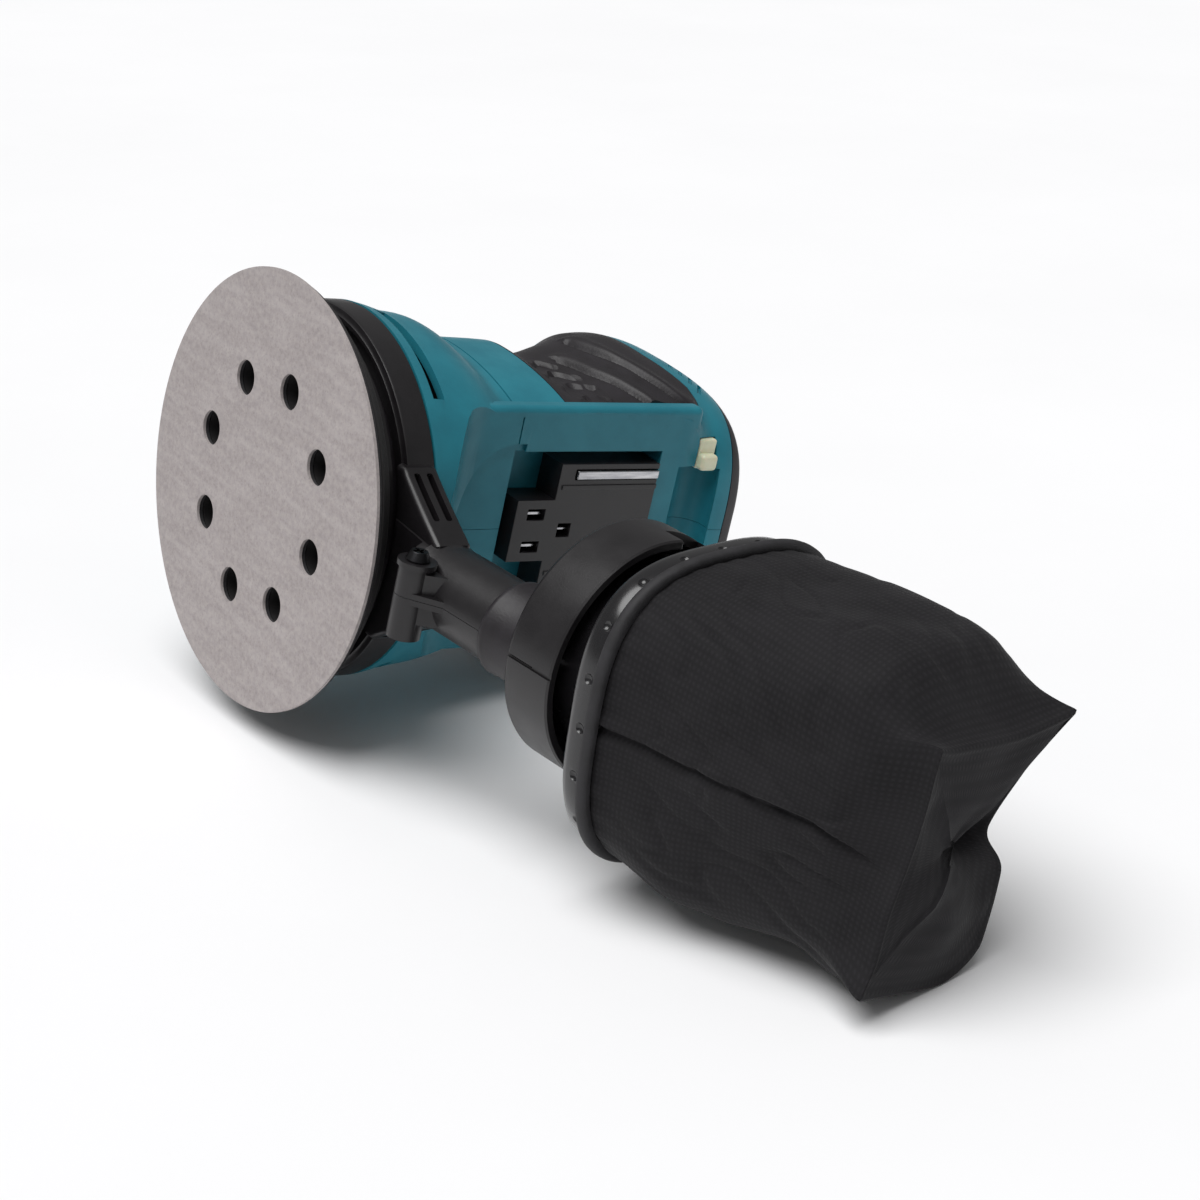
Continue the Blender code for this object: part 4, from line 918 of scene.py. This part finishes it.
def seam_outline():
    """The end seam, turned back by the frame's roll so that it ends up where it is set."""
    places, *columns = zip(*END_SEAM)
    outline = []
    for k in range(BAG_COUNT):
        turn = k * 360 / BAG_COUNT
        turn += 360 if turn < places[0] else 0
        down, side, along = (through(places, column, turn) for column in columns)
        c, s = math.cos(-ROLL), math.sin(-ROLL)
        outline.append(Vector((down * c - side * s, down * s + side * c, along)))
    return outline


def wrinkle(point):
    """How far the cloth stands out at a point of the sack: broad folds, small creases and the seam."""
    down, side, along = point
    around = math.atan2(side, down)
    free = eased((along - 40.0) / 24.0) * (1 - 0.7 * eased((along - 108.0) / 12.0))
    folds = noise.noise(Vector((math.cos(around) * 1.5, math.sin(around) * 1.5, along / 40.0 + 2.0))) * 2.6
    slanted = noise.noise(Vector((around * 3.4 + along / 26.0, along / 30.0, 9.1))) * 1.0
    creases = abs(noise.noise(Vector((around * 5.0 - along / 22.0, along / 17.0, 5.5))))
    calm = 0.35 + 0.65 * eased((down + 30.0) / 40.0)
    lift = free * calm * (folds + slanted - 0.8 * max(0.0, 0.16 - creases) / 0.16)
    gather = math.exp(-((along - 43.5) / 3.0) ** 2) * 0.22 * math.sin(around * 40.0)
    middle = -2.5 + 6.0 * eased((along - 96.0) / 24.0)
    valley = math.exp(-((side - middle - 0.9) / 1.1) ** 2) if down > 0 else 0.0
    lap = eased((side - middle + 5.0) / 4.6) * (1 if side < middle else 0) if down > 0 else 0.0
    return lift + gather - 1.9 * valley + 0.9 * lap


def worked(outline):
    moved = []
    for point in outline:
        out = Vector((point.x, point.y, 0)).normalized()
        moved.append(point + out * wrinkle(point))
    return moved


rows = [38.9 + k * (120.0 - 38.9) / 106 for k in range(107)]
rim = seam_outline()
outlines = []
for along in rows:
    share = eased((along - 101.0) / 19.0) ** 1.15
    outlines.append([a.lerp(b, share) for a, b in zip(worked(bag_outline(along)), rim)])
    for point, goal in zip(outlines[-1], rim):
        point.z = along + (goal.z - 120.0) * share
middle = Vector((-2.0, 3.0, 0))
crease_side = 3.2
for share, sink in (
    (0.975, -0.4), (0.95, -0.1), (0.92, 0.4), (0.88, 0.9), (0.84, 1.3), (0.79, 1.7), (0.73, 2.1),
    (0.66, 2.4), (0.58, 2.7),
    (0.50, 2.9), (0.41, 3.1), (0.32, 3.2), (0.23, 3.3), (0.14, 3.3), (0.06, 3.3),
):
    row = []
    for point in rim:
        place = middle + (Vector((point.x, point.y, 0)) - middle) * share
        weight = eased((1 - share) * 5.0)
        fade = 0.1 + 0.9 * eased((4 - place.x) / 16)
        crease = math.exp(-((place.y - crease_side - place.x * 0.12) / 2.8) ** 2) * 4.2 * fade
        lobe = math.exp(-(((place.y - 20) / 13) ** 2 + (place.x / 17) ** 2)) * 5.5
        lobe += math.exp(-(((place.y + 14) / 9) ** 2 + ((place.x + 6) / 18) ** 2)) * 3.0
        lobe += math.exp(-(((place.y - 3) / 10) ** 2 + ((place.x - 9) / 9) ** 2)) * 2.6
        folds = noise.noise(Vector((place.x / 18.0, place.y / 10.0, 4.0))) * 1.6
        row.append(Vector((place.x, place.y, point.z - sink + (lobe - crease + folds) * weight)))
    outlines.append(row)
sack = skin_over(outlines)
ends = [face for face in sack.faces if len(face.verts) == BAG_COUNT]
mouth = [min(ends, key=lambda face: face.calc_center_median().z)]
bmesh.ops.delete(sack, geom=mouth, context="FACES_ONLY")
along_bag(sack, ROLL)


def add_cloth_map(shape, columns, rows_count, width, length):
    """Lays a map in metres on the sack: round it, and along it from the frame."""
    layer = shape.loops.layers.uv.new("cloth")
    shape.verts.ensure_lookup_table()
    for face in shape.faces:
        spots = [(loop, loop.vert.index % columns, loop.vert.index // columns) for loop in face.loops]
        far = max(s[1] for s in spots) > columns * 0.75
        for loop, column, row in spots:
            column += columns if far and column < columns * 0.25 else 0
            loop[layer].uv = (column / columns * width * MM, row / rows_count * length * MM)


sack.verts.index_update()
add_cloth_map(sack, BAG_COUNT, len(outlines), 292.0, 125.0)
bag = made("dust_sack", sack)
soften = bag.modifiers.new("soften", "SMOOTH")
soften.factor, soften.iterations = 0.4, 2
cloth_wall = bag.modifiers.new("cloth_wall", "SOLIDIFY")
cloth_wall.thickness, cloth_wall.offset = 0.5 * MM, -1.0
settle(bag)


def woven_polyester():
    """Plain-woven polyester: threads 0.3 mm apart, drawn at 0.9 mm so that they show, their raised crossings
    painted lighter as a painted highlight; a faint sheen.
    """
    material = finish_of(
        "polyester_plain_woven", "#171618", "#201F21", 0.78, 16.0, 1.2, 0.06,
        sockets={"Sheen Weight": 0.06, "Sheen Roughness": 0.4, "Specular IOR Level": 0.2},
    )
    tree = material.node_tree
    shader = tree.nodes["Principled BSDF"]
    lumps = shader.inputs["Normal"].links[0].from_socket
    cloth = add_node(tree, "UVMap", uv_map="cloth").outputs["UV"]
    threads = []
    for direction in ("X", "Y"):
        wave = add_node(tree, "TexWave", {"Vector": cloth, "Scale": 0.157 / (0.9 * MM), "Distortion": 0.4},
                        wave_type="BANDS", bands_direction=direction)
        threads.append(wave.outputs["Fac"])
    weave = add_node(tree, "Math", {0: threads[0], 1: threads[1]}, operation="MULTIPLY")
    bump = add_node(tree, "Bump", {"Height": weave.outputs[0], "Distance": 0.05 * MM, "Normal": lumps})
    tree.links.new(bump.outputs["Normal"], shader.inputs["Normal"])
    # Painted highlight: the raised crossings of the weave are painted a lighter grey, as if lit, on top of
    # their bump.
    colour = shader.inputs["Base Color"].links[0].from_socket
    share = add_node(tree, "MapRange", {"Value": weave.outputs[0], "To Min": 0.0, "To Max": 0.2})
    crest_highlight = add_node(tree, "Mix", {0: share.outputs["Result"], 6: colour, 7: linear("#39373B")},
                   data_type="RGBA")
    tree.links.new(crest_highlight.outputs[2], shader.inputs["Base Color"])
    return material


polyester = woven_polyester()
fitted(bag, polyester, "bag", "black_polyester", "dust_bag", sharp=180)

binding = [
    (39.4, 38.6, 3.1), (41.2, 38.5, 3.1), (41.9, 39.0, 3.1), (42.0, 39.8, 3.1), (41.9, 40.8, 3.1),
    (41.4, 41.4, 3.1),
    (40.4, 41.6, 3.1), (39.4, 41.4, 3.1), (39.4, 38.6, 3.1),
]
tape = made("binding_tape", along_bag(skin_over([square_ring(*ring) for ring in binding], False), ROLL))
fitted(tape, finish_of("polyester_tape_woven", "#1D1C1E", "#29282B", 0.7, 4.0, 0.8, 0.08), "bag",
       "black_polyester", sharp=60)

# --- Studio ---------------------------------------------------------------------------------------
# A pale floor under the tool, which lies on the rim of its pad, with a white room and one soft light.


def lowest_along(direction):
    """How far the lowest visible point lies along a direction."""
    graph = bpy.context.evaluated_depsgraph_get()
    least = 1e9
    for item in bpy.context.scene.objects:
        if item.type == "MESH" and not item.hide_render:
            least = min(least, min(direction.dot(v.co) for v in item.evaluated_get(graph).data.vertices))
    return least


floor_up = Vector((-0.09, -0.983, -0.157)).normalized()
bpy.context.view_layer.update()
level = lowest_along(floor_up)
ground = bmesh.new()
bmesh.ops.create_grid(ground, x_segments=1, y_segments=1, size=3.0)
bmesh.ops.rotate(ground, cent=(0, 0, 0), matrix=Vector((0, 0, 1)).rotation_difference(floor_up).to_matrix(),
                 verts=ground.verts)
bmesh.ops.translate(ground, vec=floor_up * (level - 0.0002), verts=ground.verts)
mesh = bpy.data.meshes.new("studio_floor")
ground.to_mesh(mesh)
ground.free()
floor = bpy.data.objects.new("studio_floor", mesh)
bpy.context.scene.collection.objects.link(floor)
# Matt white paper, seen from above only.
paper_floor = finish_of("paper_seamless_matt", "#F6F6F7", "#F3F3F4", 0.9, 300.0, 2.0, 0.02)
tree = paper_floor.node_tree
output = tree.nodes["Material Output"]
side_seen = add_node(tree, "NewGeometry").outputs["Backfacing"]
clear = add_node(tree, "BsdfTransparent")
chosen = add_node(tree, "MixShader", {0: side_seen, 1: tree.nodes["Principled BSDF"].outputs[0],
                                      2: clear.outputs[0]})
tree.links.new(chosen.outputs[0], output.inputs["Surface"])
mesh.materials.append(paper_floor)

world = bpy.data.worlds.new("white_room")
bpy.context.scene.world = world
world.use_nodes = True
sky = world.node_tree.nodes["Background"]
sky.inputs["Color"].default_value = (1, 1, 1, 1)
seen_directly = add_node(world.node_tree, "LightPath").outputs["Is Camera Ray"]
brightness = add_node(world.node_tree, "MapRange", {"Value": seen_directly, "To Min": 0.24, "To Max": 1.0})
world.node_tree.links.new(brightness.outputs["Result"], sky.inputs["Strength"])


softbox = bpy.data.lights.new("overhead_softbox", "SUN")
softbox.energy, softbox.angle = 2.9, math.radians(50)
lamp = bpy.data.objects.new("overhead_softbox", softbox)
lamp.rotation_mode = "QUATERNION"
lamp.rotation_quaternion = Vector((0.05, 0.86, 0.5)).to_track_quat("-Z", "Y")
bpy.context.scene.collection.objects.link(lamp)

camera = bpy.data.cameras.new("camera")
camera.sensor_width, camera.lens = 36.0, 72.23
camera.clip_start, camera.clip_end = 0.05, 20.0
viewer = bpy.data.objects.new("camera", camera)
bpy.context.scene.collection.objects.link(viewer)
right, up, forward = Vector((0.56890, -0.21032, 0.79506)), Vector((-0.39601, -0.91734,
        0.04069)), Vector((-0.72079, 0.33800, 0.60516))
turn = Matrix((right, up, -forward)).transposed().to_4x4()
viewer.matrix_world = Matrix.Translation(Vector((0.555615, -0.220565, -0.334199))) @ turn
bpy.context.scene.camera = viewer
bpy.context.scene.view_settings.view_transform = "Standard"
